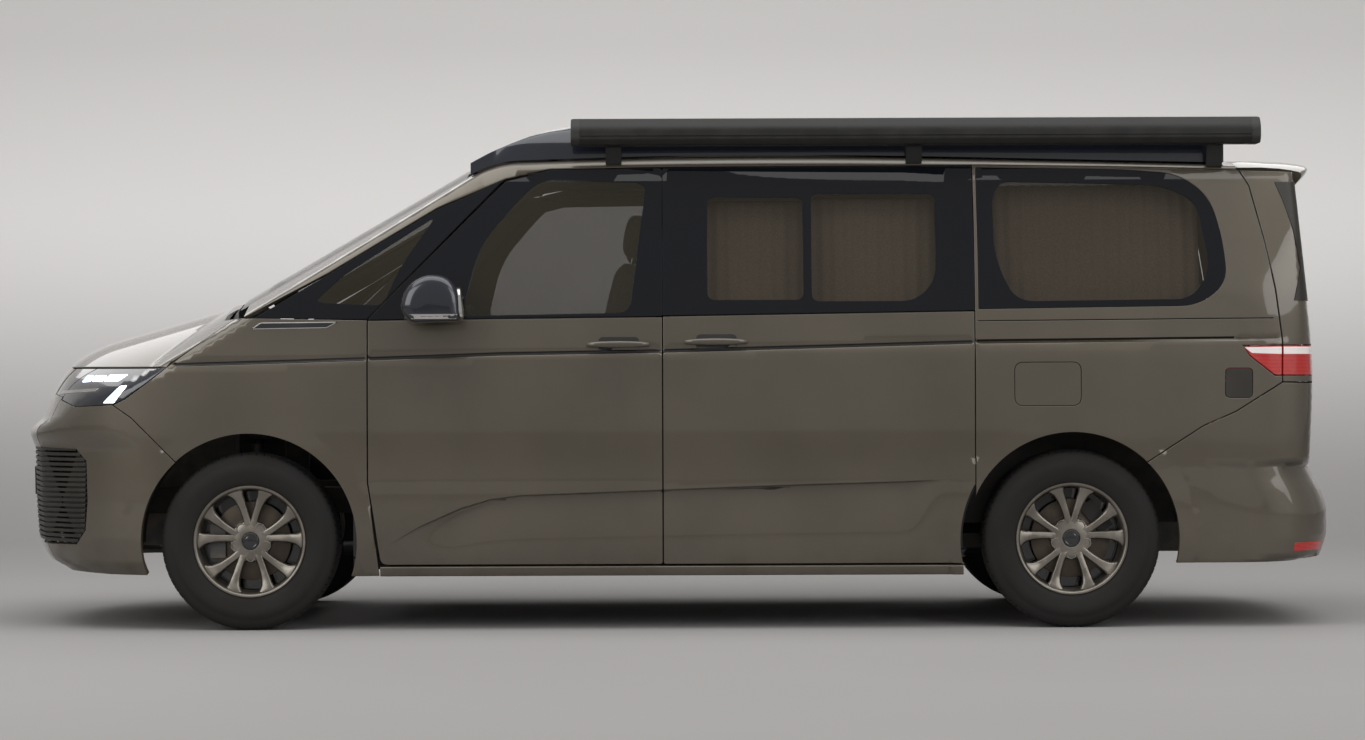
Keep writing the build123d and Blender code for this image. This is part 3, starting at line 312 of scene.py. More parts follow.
class Finish(Enum):
    """Finishes of the van."""

    PAINT = CarPaint("taupe_clearcoat", (0.082, 0.0695, 0.0505), (0.121, 0.103, 0.076), (0.085, 0.070, 0.052), 0.45)
    SHELL = CarPaint("lacquered_shell", (0.006, 0.008, 0.014), (0.014, 0.018, 0.030), metal=0.2, rough=0.25)
    GLOSS_BLACK = Moulding("piano_moulding", (0.006, 0.007, 0.010), (0.012, 0.013, 0.018), 0.12, 900.0, 0.00002, 1.0)
    MESH = Moulding("grille_mesh", (0.020, 0.017, 0.013), (0.034, 0.029, 0.023), 0.42, 500.0)
    PLASTIC = Moulding("grained_moulding", (0.014, 0.014, 0.014), (0.030, 0.028, 0.026), 0.55)
    CABIN = Moulding("cabin_moulding", (0.030, 0.030, 0.031), (0.050, 0.048, 0.046), 0.62, 420.0, 0.0004)
    RUBBER = Moulding("seal_compound", (0.010, 0.010, 0.010), (0.022, 0.021, 0.020), 0.7, 300.0)
    TYRE = Moulding("tread_compound", (0.004, 0.0032, 0.0025), (0.011, 0.0085, 0.0062), 0.72, 240.0, 0.0005)
    CASE = Metal("anodised_case", (0.011, 0.0105, 0.010), (0.020, 0.019, 0.018), 0.25, 0.46, 900.0, 0.00008)
    ALLOY = Metal("turned_alloy", (0.20, 0.182, 0.155), (0.29, 0.265, 0.23), 0.9, 0.30, 500.0, 0.00003, 0.3)
    DISC = Metal("worn_disc", (0.075, 0.064, 0.052), (0.12, 0.10, 0.08), 1.0, 0.38)
    CAST = Metal("rough_casting", (0.10, 0.10, 0.10), (0.20, 0.17, 0.14), 0.8, 0.5, 120.0, 0.0008)
    CHASSIS = Metal("painted_steel", (0.018, 0.018, 0.018), (0.05, 0.042, 0.034), 0.3, 0.55, 140.0, 0.0006)
    CHROME = Metal("polished_strip", (0.62, 0.61, 0.60), (0.74, 0.73, 0.72), 1.0, 0.12, 900.0, 0.00001)
    BORDER = Pane("printed_border", (0.006, 0.007, 0.010), 0.0)
    TINT = Pane("smoked_pane", (0.030, 0.024, 0.017), 0.36)
    CLEAR = Pane("see_through_pane", (0.036, 0.031, 0.021), 0.30)
    LENS_RED = Lens("ribbed_red_lens", (0.60, 0.014, 0.010), (0.16, 0.004, 0.004), 0.22)
    LENS_PALE = Lens("pale_strip_lens", (0.85, 0.82, 0.80), (0.72, 0.66, 0.64), 0.20)
    LIGHT = Lens("lit_bar", (0.80, 0.90, 1.0), (0.66, 0.80, 1.0), 4.0)
    LAMP_DARK = Moulding("bezel_moulding", (0.010, 0.013, 0.020), (0.022, 0.027, 0.038), 0.14, 900.0, 0.00002, 1.0)
    FABRIC = Cloth("woven_seat_cloth", (0.060, 0.058, 0.056), (0.115, 0.108, 0.100))
    CURTAIN = Cloth("pleated_blind_cloth", (0.25, 0.20, 0.15), (0.34, 0.28, 0.21))
    CANVAS = Cloth("coated_canvas", (0.16, 0.165, 0.165), (0.26, 0.265, 0.265), 300.0)
    BOARD = Metal("cabinet_board", (0.42, 0.36, 0.28), (0.55, 0.48, 0.38), 0.0, 0.45, 60.0, 0.0002)


def dress(obj: bpy.types.Object, *finishes: Finish) -> None:
    """Gives a piece its finishes, each made once, and keeps which face has which."""
    marks = np.zeros(len(obj.data.polygons), np.int32)
    obj.data.polygons.foreach_get("material_index", marks)
    obj.data.materials.clear()
    for finish in finishes:
        obj.data.materials.append(coat(finish))
    obj.data.polygons.foreach_set("material_index", np.minimum(marks, len(finishes) - 1))


def coat(finish: Finish) -> bpy.types.Material:
    """Material of a finish."""
    return bpy.data.materials.get(finish.value.name) or finish.value.make()


@cache
def circle(points: tuple[Point, ...]) -> tuple[float, float, float]:
    """Centre and radius of the circle through three points."""
    (x1, y1), (x2, y2), (x3, y3) = points
    a = np.array([[x2 - x1, y2 - y1], [x3 - x2, y3 - y2]]) * 2.0
    b = np.array([x2**2 - x1**2 + y2**2 - y1**2, x3**2 - x2**2 + y3**2 - y2**2])
    cx, cy = np.linalg.solve(a, b)
    return float(cx), float(cy), math.hypot(x1 - cx, y1 - cy)


def arc_value(points: tuple[Point, ...], along: np.ndarray) -> np.ndarray:
    """Second coordinate of the circle through three points, at values of the first."""
    cx, cy, radius = circle(points)
    side = 1.0 if (points[0][1] + points[2][1]) / 2 >= cy else -1.0
    return cy + side * np.sqrt(np.maximum(radius**2 - (along - cx) ** 2, 1e-6))


def arc_x(points: tuple[Point, ...], across: np.ndarray, side: float = 1.0) -> np.ndarray:
    """First coordinate of the circle through three points (x, y), at values of the second."""
    cx, cy, radius = circle(points)
    return cx - side * np.sqrt(np.maximum(radius**2 - (across - cy) ** 2, 1e-6))


def smooth(low: float, high: float, value: np.ndarray) -> np.ndarray:
    """Smooth step from 0 at low to 1 at high."""
    t = np.clip((value - low) / (high - low), 0.0, 1.0)
    return t * t * (3.0 - 2.0 * t)


def rounder(first: np.ndarray, second: np.ndarray, radius: float) -> np.ndarray:
    """Larger of two distances, with the edge between them rounded."""
    share = np.maximum(radius - np.abs(first - second), 0.0) / radius
    return np.maximum(first, second) + share * share * radius / 4.0


@dataclass(frozen=True)
class Slope:
    """Surface that runs from start to end (x, z) and is crowned across the body."""

    start: Point
    end: Point
    crown: float

    def gap(self, x: np.ndarray, y: np.ndarray, z: np.ndarray) -> np.ndarray:
        """Signed distance above the surface."""
        run = Vector((self.end[0] - self.start[0], self.end[1] - self.start[1])).normalized()
        above = (z - self.start[1]) * run.x - (x - self.start[0]) * run.y
        return above + self.crown - np.sqrt(np.maximum(self.crown**2 - y**2, 0.01))


def table(rows: Sequence[Point], along: np.ndarray) -> np.ndarray:
    """Value between rows of (along, value)."""
    return np.interp(along, [row[0] for row in rows], [row[1] for row in rows])


class Body:
    """Outer surface of the van, as a field that is negative inside."""

    slopes_front = (
        Slope((NOSE + 0.025, 0.730), (NOSE + 0.104, 0.935), 2.0),
        Slope((NOSE + 0.128, 0.985), (NOSE + 0.205, 1.052), 1.9),
        Slope((NOSE + 0.238, 1.078), (NOSE + 0.821, 1.243), 2.15),
    )
    slopes_cabin = (
        Slope((NOSE + 0.821, 1.243), (NOSE + 1.792, 1.805), 4.06),
        Slope((NOSE + 1.852, 1.822), (NOSE + 2.600, ROOF), 6.5),
        Slope((REAR - 0.900, ROOF), (TAIL - 0.260, ROOF - 0.042), 6.5),
        Slope((TAIL - 0.150, 1.700), (TAIL - 0.074, 1.000), 4.7),
        Slope((TAIL - 0.074, 1.000), (TAIL - 0.092, 0.640), 4.7),
    )
    crease = ((-1.885, 1.002), (-1.613, 1.009), (-1.169, 1.022), (-0.666, 1.039), (-0.056, 1.048),
              (0.470, 1.061), (1.133, 1.078), (2.117, 1.086), (2.60, 1.090))
    swoosh = ((-1.104, 0.321), (-0.971, 0.397), (-0.819, 0.464), (-0.706, 0.498), (-0.592, 0.513),
              (-0.289, 0.523), (0.090, 0.537), (0.468, 0.550), (0.847, 0.560), (1.017, 0.567))
    swoosh_drop = 0.022
    flare_r = 0.478

    def section(self, z: np.ndarray) -> np.ndarray:
        """Half width of the upright flank at a height."""
        flank, belt = HALF - 0.008, HALF - 0.025
        low = arc_value(((0.202, HALF - 0.040), (0.330, flank - 0.012), (0.560, flank - 0.003)), z)
        mid = arc_value(((0.560, flank - 0.003), (0.800, flank), (1.030, flank - 0.003)), z)
        line = table([(1.030, flank - 0.003), (BELT, belt)], z)
        glass = arc_value(((BELT, belt), (1.480, HALF - 0.080), (1.730, HALF - 0.158)), z)
        head = arc_value(((1.730, HALF - 0.158), (1.778, HALF - 0.174), (1.804, HALF - 0.214)), z)
        top = (HALF - 0.214) * (1.936 - z) / 0.132
        picked = np.select([z < 0.560, z < 1.030, z < BELT, z < 1.730, z < 1.804], [low, mid, line, glass, head], top)
        return np.where(z < 0.202, HALF - 0.040, picked)

    def relief(self, x: np.ndarray, z: np.ndarray) -> np.ndarray:
        """How far the flank stands out from its plain section."""
        line = table(self.crease, x)
        fade = smooth(-2.1, -1.8, x)
        out = -0.004 * smooth(0.000, 0.012, z - line) * fade
        out = out - 0.010 * fade * (1.0 - smooth(0.0055, 0.0080, np.abs(z - line - 0.0075)))
        line = table(self.swoosh, x)
        below = line - z
        depth = self.swoosh_drop * smooth(-1.11, -0.80, x) * (1.0 - smooth(0.86, 1.03, x))
        floor = np.maximum(line - 0.250, 0.020)
        out = out - depth * smooth(0.0, 0.009, below) * (1.0 - smooth(0.02, 1.0, below / floor))
        for axle in (FRONT, REAR):
            radius = np.hypot(x - axle, z - AXLE_Z)
            out = out + 0.014 * (1.0 - smooth(self.flare_r - 0.010, self.flare_r + 0.004, radius))
        crease = table([(2.044, 0.608), (2.176, 0.600), (2.385, 0.618)], x)
        out = out + 0.008 * smooth(2.0, 2.1, x) * (1 - smooth(0.0, 0.012, z - crease)) * smooth(0.33, 0.55, z)
        return out

    def plan_nose(self, y: np.ndarray) -> tuple[np.ndarray, np.ndarray]:
        """Foremost x at a distance from the centreline, and how steeply it changes."""
        def front(w: np.ndarray) -> np.ndarray:
            """Foremost x at a distance from the centreline."""
            brow = arc_x(((NOSE, 0.0), (NOSE + 0.026, 0.32025), (NOSE + 0.106, 0.6405)), w)
            corner = arc_x(((NOSE + 0.106, 0.6405), (NOSE + 0.322, 0.8685), (NOSE + 0.790, 0.9625)), w)
            wing = NOSE + 0.790 + (w - 0.9625) * (DOOR_FRONT - NOSE - 0.790) / 0.008
            return np.select([w < 0.6405, w < 0.9625], [brow, corner], wing)
        step = 1e-4
        return front(y), (front(y + step) - front(y - step)) / (2 * step)

    def plan_tail(self, y: np.ndarray) -> tuple[np.ndarray, np.ndarray]:
        """Rearmost x at a distance from the centreline, and how steeply it changes."""
        def back(w: np.ndarray) -> np.ndarray:
            """Rearmost x at a distance from the centreline."""
            rear = arc_x(((TAIL, 0.0), (TAIL - 0.020, 0.36025), (TAIL - 0.078, 0.7205)), w, -1.0)
            corner = arc_x(((TAIL - 0.078, 0.7205), (TAIL - 0.170, 0.8785), (TAIL - 0.330, 0.9325)), w, -1.0)
            flank = TAIL - 0.330 - (w - 0.9325) * (TAIL - 0.330 - REAR - 0.150) / 0.038
            return np.select([w < 0.7205, w < 0.9325], [rear, corner], flank)
        step = 1e-4
        return back(y), (back(y + step) - back(y - step)) / (2 * step)

    def field(self, point: np.ndarray) -> np.ndarray:
        """Signed distance-like value at points (n, 3), negative inside."""
        x, y, z = point[:, 0], np.abs(point[:, 1]), point[:, 2]
        side = y - self.section(z) - self.relief(x, z)
        nose_x, nose_run = self.plan_nose(y)
        tail_x, tail_run = self.plan_tail(y)
        nose = (nose_x - x) / np.sqrt(1.0 + np.minimum(nose_run**2, 64.0))
        tail = (x - tail_x) / np.sqrt(1.0 + np.minimum(tail_run**2, 64.0))
        front = self.slopes_front[2].gap(x, y, z)
        for slope in self.slopes_front[1::-1]:
            front = rounder(front, slope.gap(x, y, z), 0.05)
        cabin = self.slopes_cabin[0].gap(x, y, z)
        for slope, radius in zip(self.slopes_cabin[1:], (0.05, 0.03, 0.04, 0.03)):
            cabin = rounder(cabin, slope.gap(x, y, z), radius)
        cabin = np.minimum(cabin, np.maximum(z - 0.612, 1.9 - x))
        top = np.minimum(np.maximum(front, x - (NOSE + 1.25)), cabin)
        chin = (nose_x - x) + table([(0.200, 0.170), (0.262, 0.070), (0.345, 0.034), (0.480, 0.024), (0.590, 0.022),
                                     (0.700, 0.018), (0.760, -0.03), (0.9, -0.1)], z)
        heel = (x - tail_x) - table([(0.234, -0.190), (0.262, -0.036), (0.340, -0.002), (0.440, 0.0), (0.510, -0.030),
                                     (0.575, -0.066), (0.612, -0.078), (0.70, 0.3)], z)
        sill = table([(FRONT, 0.200), (FRONT + 0.05, 0.196), (REAR - 0.05, 0.196), (REAR, 0.234)], x) - z
        out = rounder(side, rounder(nose, tail, 0.01), 0.05)
        out = rounder(out, top, 0.03)
        out = rounder(out, rounder(chin * 0.8, heel * 0.8, 0.01), 0.03)
        return rounder(out, sill, 0.02)

    def normal(self, point: np.ndarray) -> np.ndarray:
        """Outward direction at points on the surface."""
        step = 6e-4
        moves = np.concatenate([step * np.eye(3), -step * np.eye(3)])
        value = self.field((point[None] + moves[:, None]).reshape(-1, 3)).reshape(6, -1)
        out = (value[:3] - value[3:]).T
        return out / np.maximum(np.linalg.norm(out, axis=1, keepdims=True), 1e-9)


class Side(Enum):
    """Direction from which a panel's outline is drawn: start of the first ray, its direction and length."""

    LEFT = ((0, -1.4, 0), (0, 1, 0), 1.39, (0, 2))
    NOSE = ((-3.2, 0, 0), (1, 0, 0), 1.3, (1, 2))
    TAIL = ((3.2, 0, 0), (-1, 0, 0), 1.3, (1, 2))
    TOP = ((0, 0, 2.4), (0, 0, -1), 1.5, (0, 1))


BODY = Body()


def project(side: Side, flat: np.ndarray) -> tuple[np.ndarray, np.ndarray]:
    """Lands flat points on the body.

    Args:
        side: where the outline is drawn from.
        flat: points (n, 2) in that view.

    Returns:
        Points on the surface and their outward directions.
    """
    start, way, length, axes = side.value
    origin = np.tile(np.array(start, float), (len(flat), 1))
    origin[:, axes[0]], origin[:, axes[1]] = flat[:, 0], flat[:, 1]
    way = np.array(way, float)
    depth, value = np.zeros(len(flat)), BODY.field(origin)
    for count in range(20):
        if count < 10:
            step = value * 0.8
        else:
            rise = value - before
            step = np.clip(-value * step / np.where(np.abs(rise) < 1e-12, 1e-12, rise), -0.03, 0.03)
        before = value
        depth = np.clip(depth + step, 0.0, length)
        value = BODY.field(origin + way * depth[:, None])
    lost = np.nonzero(np.abs(value) > 2e-5)[0]
    if len(lost):
        base, far = origin[lost], np.full(len(lost), float(length))
        for reach in np.linspace(0.0, length, 60)[::-1]:
            far = np.where(BODY.field(base + way * reach) < 0, reach, far)
        near = np.maximum(far - length / 59, 0.0)
        for _ in range(14):
            middle = (near + far) / 2
            inside = BODY.field(base + way * middle[:, None]) < 0
            far, near = np.where(inside, middle, far), np.where(inside, near, middle)
        depth[lost] = far
    point = origin + way * depth[:, None]
    return point, BODY.normal(point)


def rounded(points: Loop, steps: int = 6) -> list[Point]:
    """Outline with its corners rounded: each row is (u, v) or (u, v, radius)."""
    out: list[Point] = []
    count = len(points)
    for i, row in enumerate(points):
        here = Vector(row[:2])
        if len(row) < 3 or row[2] <= 0:
            out.append(tuple(here))
            continue
        before, after = Vector(points[i - 1][:2]) - here, Vector(points[(i + 1) % count][:2]) - here
        reach = min(row[2], before.length * 0.48, after.length * 0.48)
        first, last = here + before.normalized() * reach, here + after.normalized() * reach
        for k in range(steps + 1):
            t = k / steps
            out.append(tuple(first * (1 - t) ** 2 + here * 2 * t * (1 - t) + last * t**2))
    return out


def dense(loop: Loop, pitch: float, closed: bool = True) -> np.ndarray:
    """Loop with points no further apart than the pitch."""
    rows = np.array([row[:2] for row in loop], float)
    ends = np.roll(rows, -1, axis=0) if closed else rows[1:]
    out = []
    for first, last in zip(rows, ends):
        parts = max(1, math.ceil(np.linalg.norm(last - first) / pitch))
        out.extend(first + (last - first) * k / parts for k in range(parts))
    if not closed:
        out.append(rows[-1])
    return np.array(out)


def area(loop: np.ndarray) -> float:
    """Signed area of a loop."""
    nxt = np.roll(loop, -1, axis=0)
    return float(np.sum(loop[:, 0] * nxt[:, 1] - nxt[:, 0] * loop[:, 1]) / 2)


def shifted(loop: np.ndarray, distance: float) -> np.ndarray:
    """Loop moved toward its inside by a small distance."""
    before, after = loop - np.roll(loop, 1, axis=0), np.roll(loop, -1, axis=0) - loop
    turn = np.sign(area(loop))
    sides = []
    for edge in (before, after):
        edge = edge / np.maximum(np.linalg.norm(edge, axis=1, keepdims=True), 1e-9)
        sides.append(np.stack([-edge[:, 1], edge[:, 0]], axis=1) * turn)
    middle = sides[0] + sides[1]
    length = np.maximum(np.linalg.norm(middle, axis=1, keepdims=True), 1e-6)
    return loop + middle / length * distance / np.maximum(length / 2, 0.5)


def within(points: np.ndarray, loop: np.ndarray) -> np.ndarray:
    """Whether points lie inside a loop."""
    out = np.zeros(len(points), bool)
    nxt = np.roll(loop, -1, axis=0)
    for (x1, y1), (x2, y2) in zip(loop, nxt):
        if y1 != y2:
            crosses = (y1 > points[:, 1]) != (y2 > points[:, 1])
            out ^= crosses & (points[:, 0] < (x2 - x1) * (points[:, 1] - y1) / (y2 - y1) + x1)
    return out


def clearance(points: np.ndarray, lines: Iterable[np.ndarray]) -> np.ndarray:
    """Distance from points to the nearest of some polylines."""
    out = np.full(len(points), 1e9)
    for line in lines:
        for first, last in zip(line[:-1], line[1:]):
            run = last - first
            t = np.clip(((points - first) @ run) / max(run @ run, 1e-12), 0, 1)
            out = np.minimum(out, np.linalg.norm(points - first - t[:, None] * run, axis=1))
    return out


@dataclass
class Shape:
    """Vertices, outward directions and faces of a piece in the making."""

    points: list[np.ndarray]
    normals: list[np.ndarray]
    faces: list[tuple[int, ...]]
    marks: list[int]

    @classmethod
    def empty(cls) -> "Shape":
        """A shape with nothing in it."""
        return cls([], [], [], [])

    def add(self, points: np.ndarray, normals: np.ndarray) -> int:
        """Adds vertices and returns the number of the first."""
        start = sum(len(p) for p in self.points)
        self.points.append(np.asarray(points, float))
        self.normals.append(np.asarray(normals, float))
        return start

    def face(self, corners: Sequence[int], mark: int = 0) -> None:
        """Adds a face with a finish number."""
        self.faces.append(tuple(corners))
        self.marks.append(mark)

    def strip(self, first: Sequence[int], second: Sequence[int], closed: bool = True, mark: int = 0) -> None:
        """Joins two rows of vertices with quads."""
        count = len(first)
        for k in range(count if closed else count - 1):
            n = (k + 1) % count
            self.face((first[k], first[n], second[n], second[k]), mark)

    def mesh(self, name: str, mirror: bool = False) -> bpy.types.Object:
        """Makes the object.

        Args:
            name: name of the piece.
            mirror: makes its mirror image across the centreline.

        Returns:
            The object, linked to the scene.
        """
        points, normals = np.concatenate(self.points), np.concatenate(self.normals)
        faces = self.faces
        if mirror:
            points, normals = points * (1, -1, 1), normals * (1, -1, 1)
            faces = [face[::-1] for face in faces]
        data = bpy.data.meshes.new(name)
        data.from_pydata([tuple(p) for p in points], [], faces)
        data.polygons.foreach_set("material_index", self.marks)
        data.polygons.foreach_set("use_smooth", [True] * len(faces))
        data.validate()
        if len(data.vertices) == len(normals):
            data.normals_split_custom_set_from_vertices([tuple(n) for n in normals])
        data.update()
        obj = bpy.data.objects.new(name, data)
        bpy.context.scene.collection.objects.link(obj)
        return obj


def skin(shape: Shape, side: Side, outline: Loop, holes: Sequence[Loop] = (), top: float = 0.0, thick: float = 0.016,
         edge: float = 0.002, pitch: float = 0.034, lines: Sequence[Loop] = (), mark: int = 0,
         back: bool = True) -> None:
    """Adds a panel that follows the body, with rolled edges.

    Args:
        shape: receives the panel.
        side: where the outline is drawn from.
        outline: outer edge, in that view.
        holes: openings in the panel.
        top: how far its face lies below the body's surface.
        thick: thickness.
        edge: radius of the rolled edge.
        pitch: size of its faces.
        lines: creases that the faces follow.
        mark: number of its finish.
        back: whether it has a back face.
    """
    loops = [dense(loop, pitch * 0.6) for loop in (outline, *holes)]
    loops = [loop if area(loop) > 0 else loop[::-1] for loop in loops]
    signs = [1.0] + [-1.0] * len(holes)
    borders = [shifted(loop, sign * edge) for loop, sign in zip(loops, signs)]
    low, high = borders[0].min(0), borders[0].max(0)
    rows = np.arange(low[1] + pitch * 0.5, high[1], pitch * 0.87)
    grid = np.array([(x + (pitch / 2 if k % 2 else 0), v) for k, v in enumerate(rows)
                     for x in np.arange(low[0], high[0], pitch)]).reshape(-1, 2)
    creases = []
    for line in lines:
        row = dense(line, pitch * 0.6, closed=False)
        keep = within(row, borders[0]) & (clearance(row, [np.vstack([b, b[:1]]) for b in borders]) > pitch * 0.2)
        for hole in borders[1:]:
            keep &= ~within(row, hole)
        run: list[np.ndarray] = []
        for point, good in zip(row, keep):
            if good:
                run.append(point)
            elif len(run) > 1:
                creases.append(np.array(run))
                run = []
            else:
                run = []
        if len(run) > 1:
            creases.append(np.array(run))
    fences = [np.vstack([b, b[:1]]) for b in borders] + creases
    if len(grid):
        keep = within(grid, borders[0])
        for hole in borders[1:]:
            keep &= ~within(grid, hole)
        grid = grid[keep]
    if len(grid):
        grid = grid[clearance(grid, fences) > pitch * 0.42]
    flat, edges = [], []
    for loop in borders:
        start = len(flat)
        flat.extend(loop)
        edges.extend((start + k, start + (k + 1) % len(loop)) for k in range(len(loop)))
    for line in creases:
        start = len(flat)
        flat.extend(line)
        edges.extend((start + k, start + k + 1) for k in range(len(line) - 1))
    flat.extend(grid)
    verts, _, tris, origin, _, _ = delaunay_2d_cdt([Vector(p) for p in flat], edges, [], 0, 1e-7)
    verts = np.array([tuple(v) for v in verts])
    middle = np.array([verts[list(t)].mean(0) for t in tris])
    keep = within(middle, borders[0])
    for hole in borders[1:]:
        keep &= ~within(middle, hole)
    tris = [t for t, good in zip(tris, keep) if good]
    place = {source: k for k, sources in enumerate(origin) for source in sources}
    point, normal = project(side, verts)
    face_up = 1.0
    sample = tris[len(tris) // 2]
    a, b, c = (point[k] for k in sample)
    if np.dot(np.cross(b - a, c - a), normal[sample[0]]) < 0:
        face_up = -1.0
    start = shape.add(point - normal * top, normal)
    for t in tris:
        shape.face([start + k for k in (t if face_up > 0 else t[::-1])], mark)
    if back:
        under = shape.add(point - normal * (top + thick), -normal)
        for t in tris:
            shape.face([under + k for k in (t[::-1] if face_up > 0 else t)], mark)
    index = 0
    for loop, sign in zip(loops, signs):
        count = len(loop)
        rim = [place[index + k] for k in range(count)]
        index += count
        on, out = project(side, loop)
        lateral = on - point[rim]
        lateral -= out * np.sum(lateral * out, axis=1, keepdims=True)
        lateral /= np.maximum(np.linalg.norm(lateral, axis=1, keepdims=True), 1e-9)
        shoulder = point[rim] + (on - point[rim]) * 0.7 - out * (top + edge * 0.3)
        rows3 = [
            [start + k for k in rim],
            list(range(*(lambda s: (s, s + count))(shape.add(shoulder, (lateral + out) / 1.414)))),
            list(range(*(lambda s: (s, s + count))(shape.add(on - out * (top + edge), lateral)))),
            list(range(*(lambda s: (s, s + count))(shape.add(on - out * (top + thick), lateral)))),
        ]
        if back:
            rows3.append([under + k for k in rim])
        flip = (sign * face_up) > 0
        for upper, lower in zip(rows3[:-1], rows3[1:]):
            if flip:
                shape.strip(lower, upper, True, mark)
            else:
                shape.strip(upper, lower, True, mark)


def made(name: str, build: Callable[[Shape], None], mirror: bool = False) -> bpy.types.Object:
    """Makes one piece from a function that fills its shape."""
    shape = Shape.empty()
    build(shape)
    return shape.mesh(name, mirror)


def settle(obj: bpy.types.Object, body: str, slot: str, nodes: Sequence[str], *finishes: Finish) -> None:
    """Dresses a piece with its finishes, hangs it on the body it rides on and hides the solids it stands for."""
    dress(obj, *finishes)
    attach(obj, body)
    if nodes:
        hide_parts(*nodes)
    LOG.info("%s: %d faces on %s", obj.name, len(obj.data.polygons), body)


def cut_line(side: Side, fixed: float, start: float, end: float, count: int = 24) -> list[Point]:
    """Points (x, z) where the body crosses a plane of constant y, from start to end in height."""
    heights = np.linspace(start, end, count)
    point, _ = project(side, np.stack([np.full(count, fixed), heights], axis=1))
    return [(p[0], p[2]) for p in point]


def arch(x: float, radius: float, start: float, end: float, count: int = 40) -> list[Point]:
    """Points of a wheel arch from one angle to another, in degrees."""
    turns = [math.radians(start + (end - start) * k / (count - 1)) for k in range(count)]
    return [(x + radius * math.cos(t), AXLE_Z + radius * math.sin(t)) for t in turns]


def gapped(points: Loop, gap: float = GAP) -> np.ndarray:
    """Outline moved inward by half a shut gap."""
    return shifted(dense(rounded(points), 0.02), gap)


SIDES = (("left", False), ("right", True))
CREASES = tuple([(x, z + rise) for x, z in Body.crease] for rise in (-0.0008, 0.0018, 0.0132, 0.0158))
SWOOSH = tuple([(x, z - drop) for x, z in Body.swoosh] for drop in (-0.001, 0.0035, 0.009, 0.016))
FLARE_FRONT = (arch(FRONT, 0.466, -25, 160), arch(FRONT, 0.484, -25, 160))
FLARE_REAR = (arch(REAR, 0.466, 15, 200), arch(REAR, 0.484, 15, 200))
TAIL_CREASE = ([(2.044, 0.608), (2.176, 0.600), (2.385, 0.618)], [(2.044, 0.620), (2.176, 0.612), (2.385, 0.630)])
NOSE_Y, TAIL_Y, ROOF_Y = 0.640, 0.7205, 0.728


def groove(shape: Shape, low: float, high: float, mark: int) -> None:
    """Lays a dark strip on the bottom of the shoulder groove between two places along the body, a painted shadow."""
    line = [(x, z) for x, z in dense(Body.crease, 0.05, closed=False) if low + 0.01 < x < high - 0.01]
    ends = [(x, float(table(Body.crease, np.float64(x)))) for x in (low, high)]
    row = [ends[0], *line, ends[1]]
    # Painted shadow: dark strip standing for the shade in the groove.
    painted_shadow_band = [(x, z + 0.0019) for x, z in row] + [(x, z + 0.0131) for x, z in row[::-1]]
    skin(shape, Side.LEFT, painted_shadow_band, top=-0.0006, thick=0.002, edge=0.0003, pitch=0.05, mark=mark, back=False)


@dataclass
class SideGlass:
    """One black glass area with its clear panes."""

    border: Loop
    panes: Sequence[Loop]

    def build(self, shape: Shape) -> None:
        """Adds the border and the panes."""
        panes = [dense(rounded(p), 0.02) for p in self.panes]
        skin(shape, Side.LEFT, gapped(self.border, 0.0008), panes, top=0.0008, thick=0.005, edge=0.001, pitch=0.05)
        for pane in panes:
            skin(shape, Side.LEFT, shifted(pane, 0.0003), top=0.0016, thick=0.004, edge=0.0006, pitch=0.05, mark=1,
                 back=False)


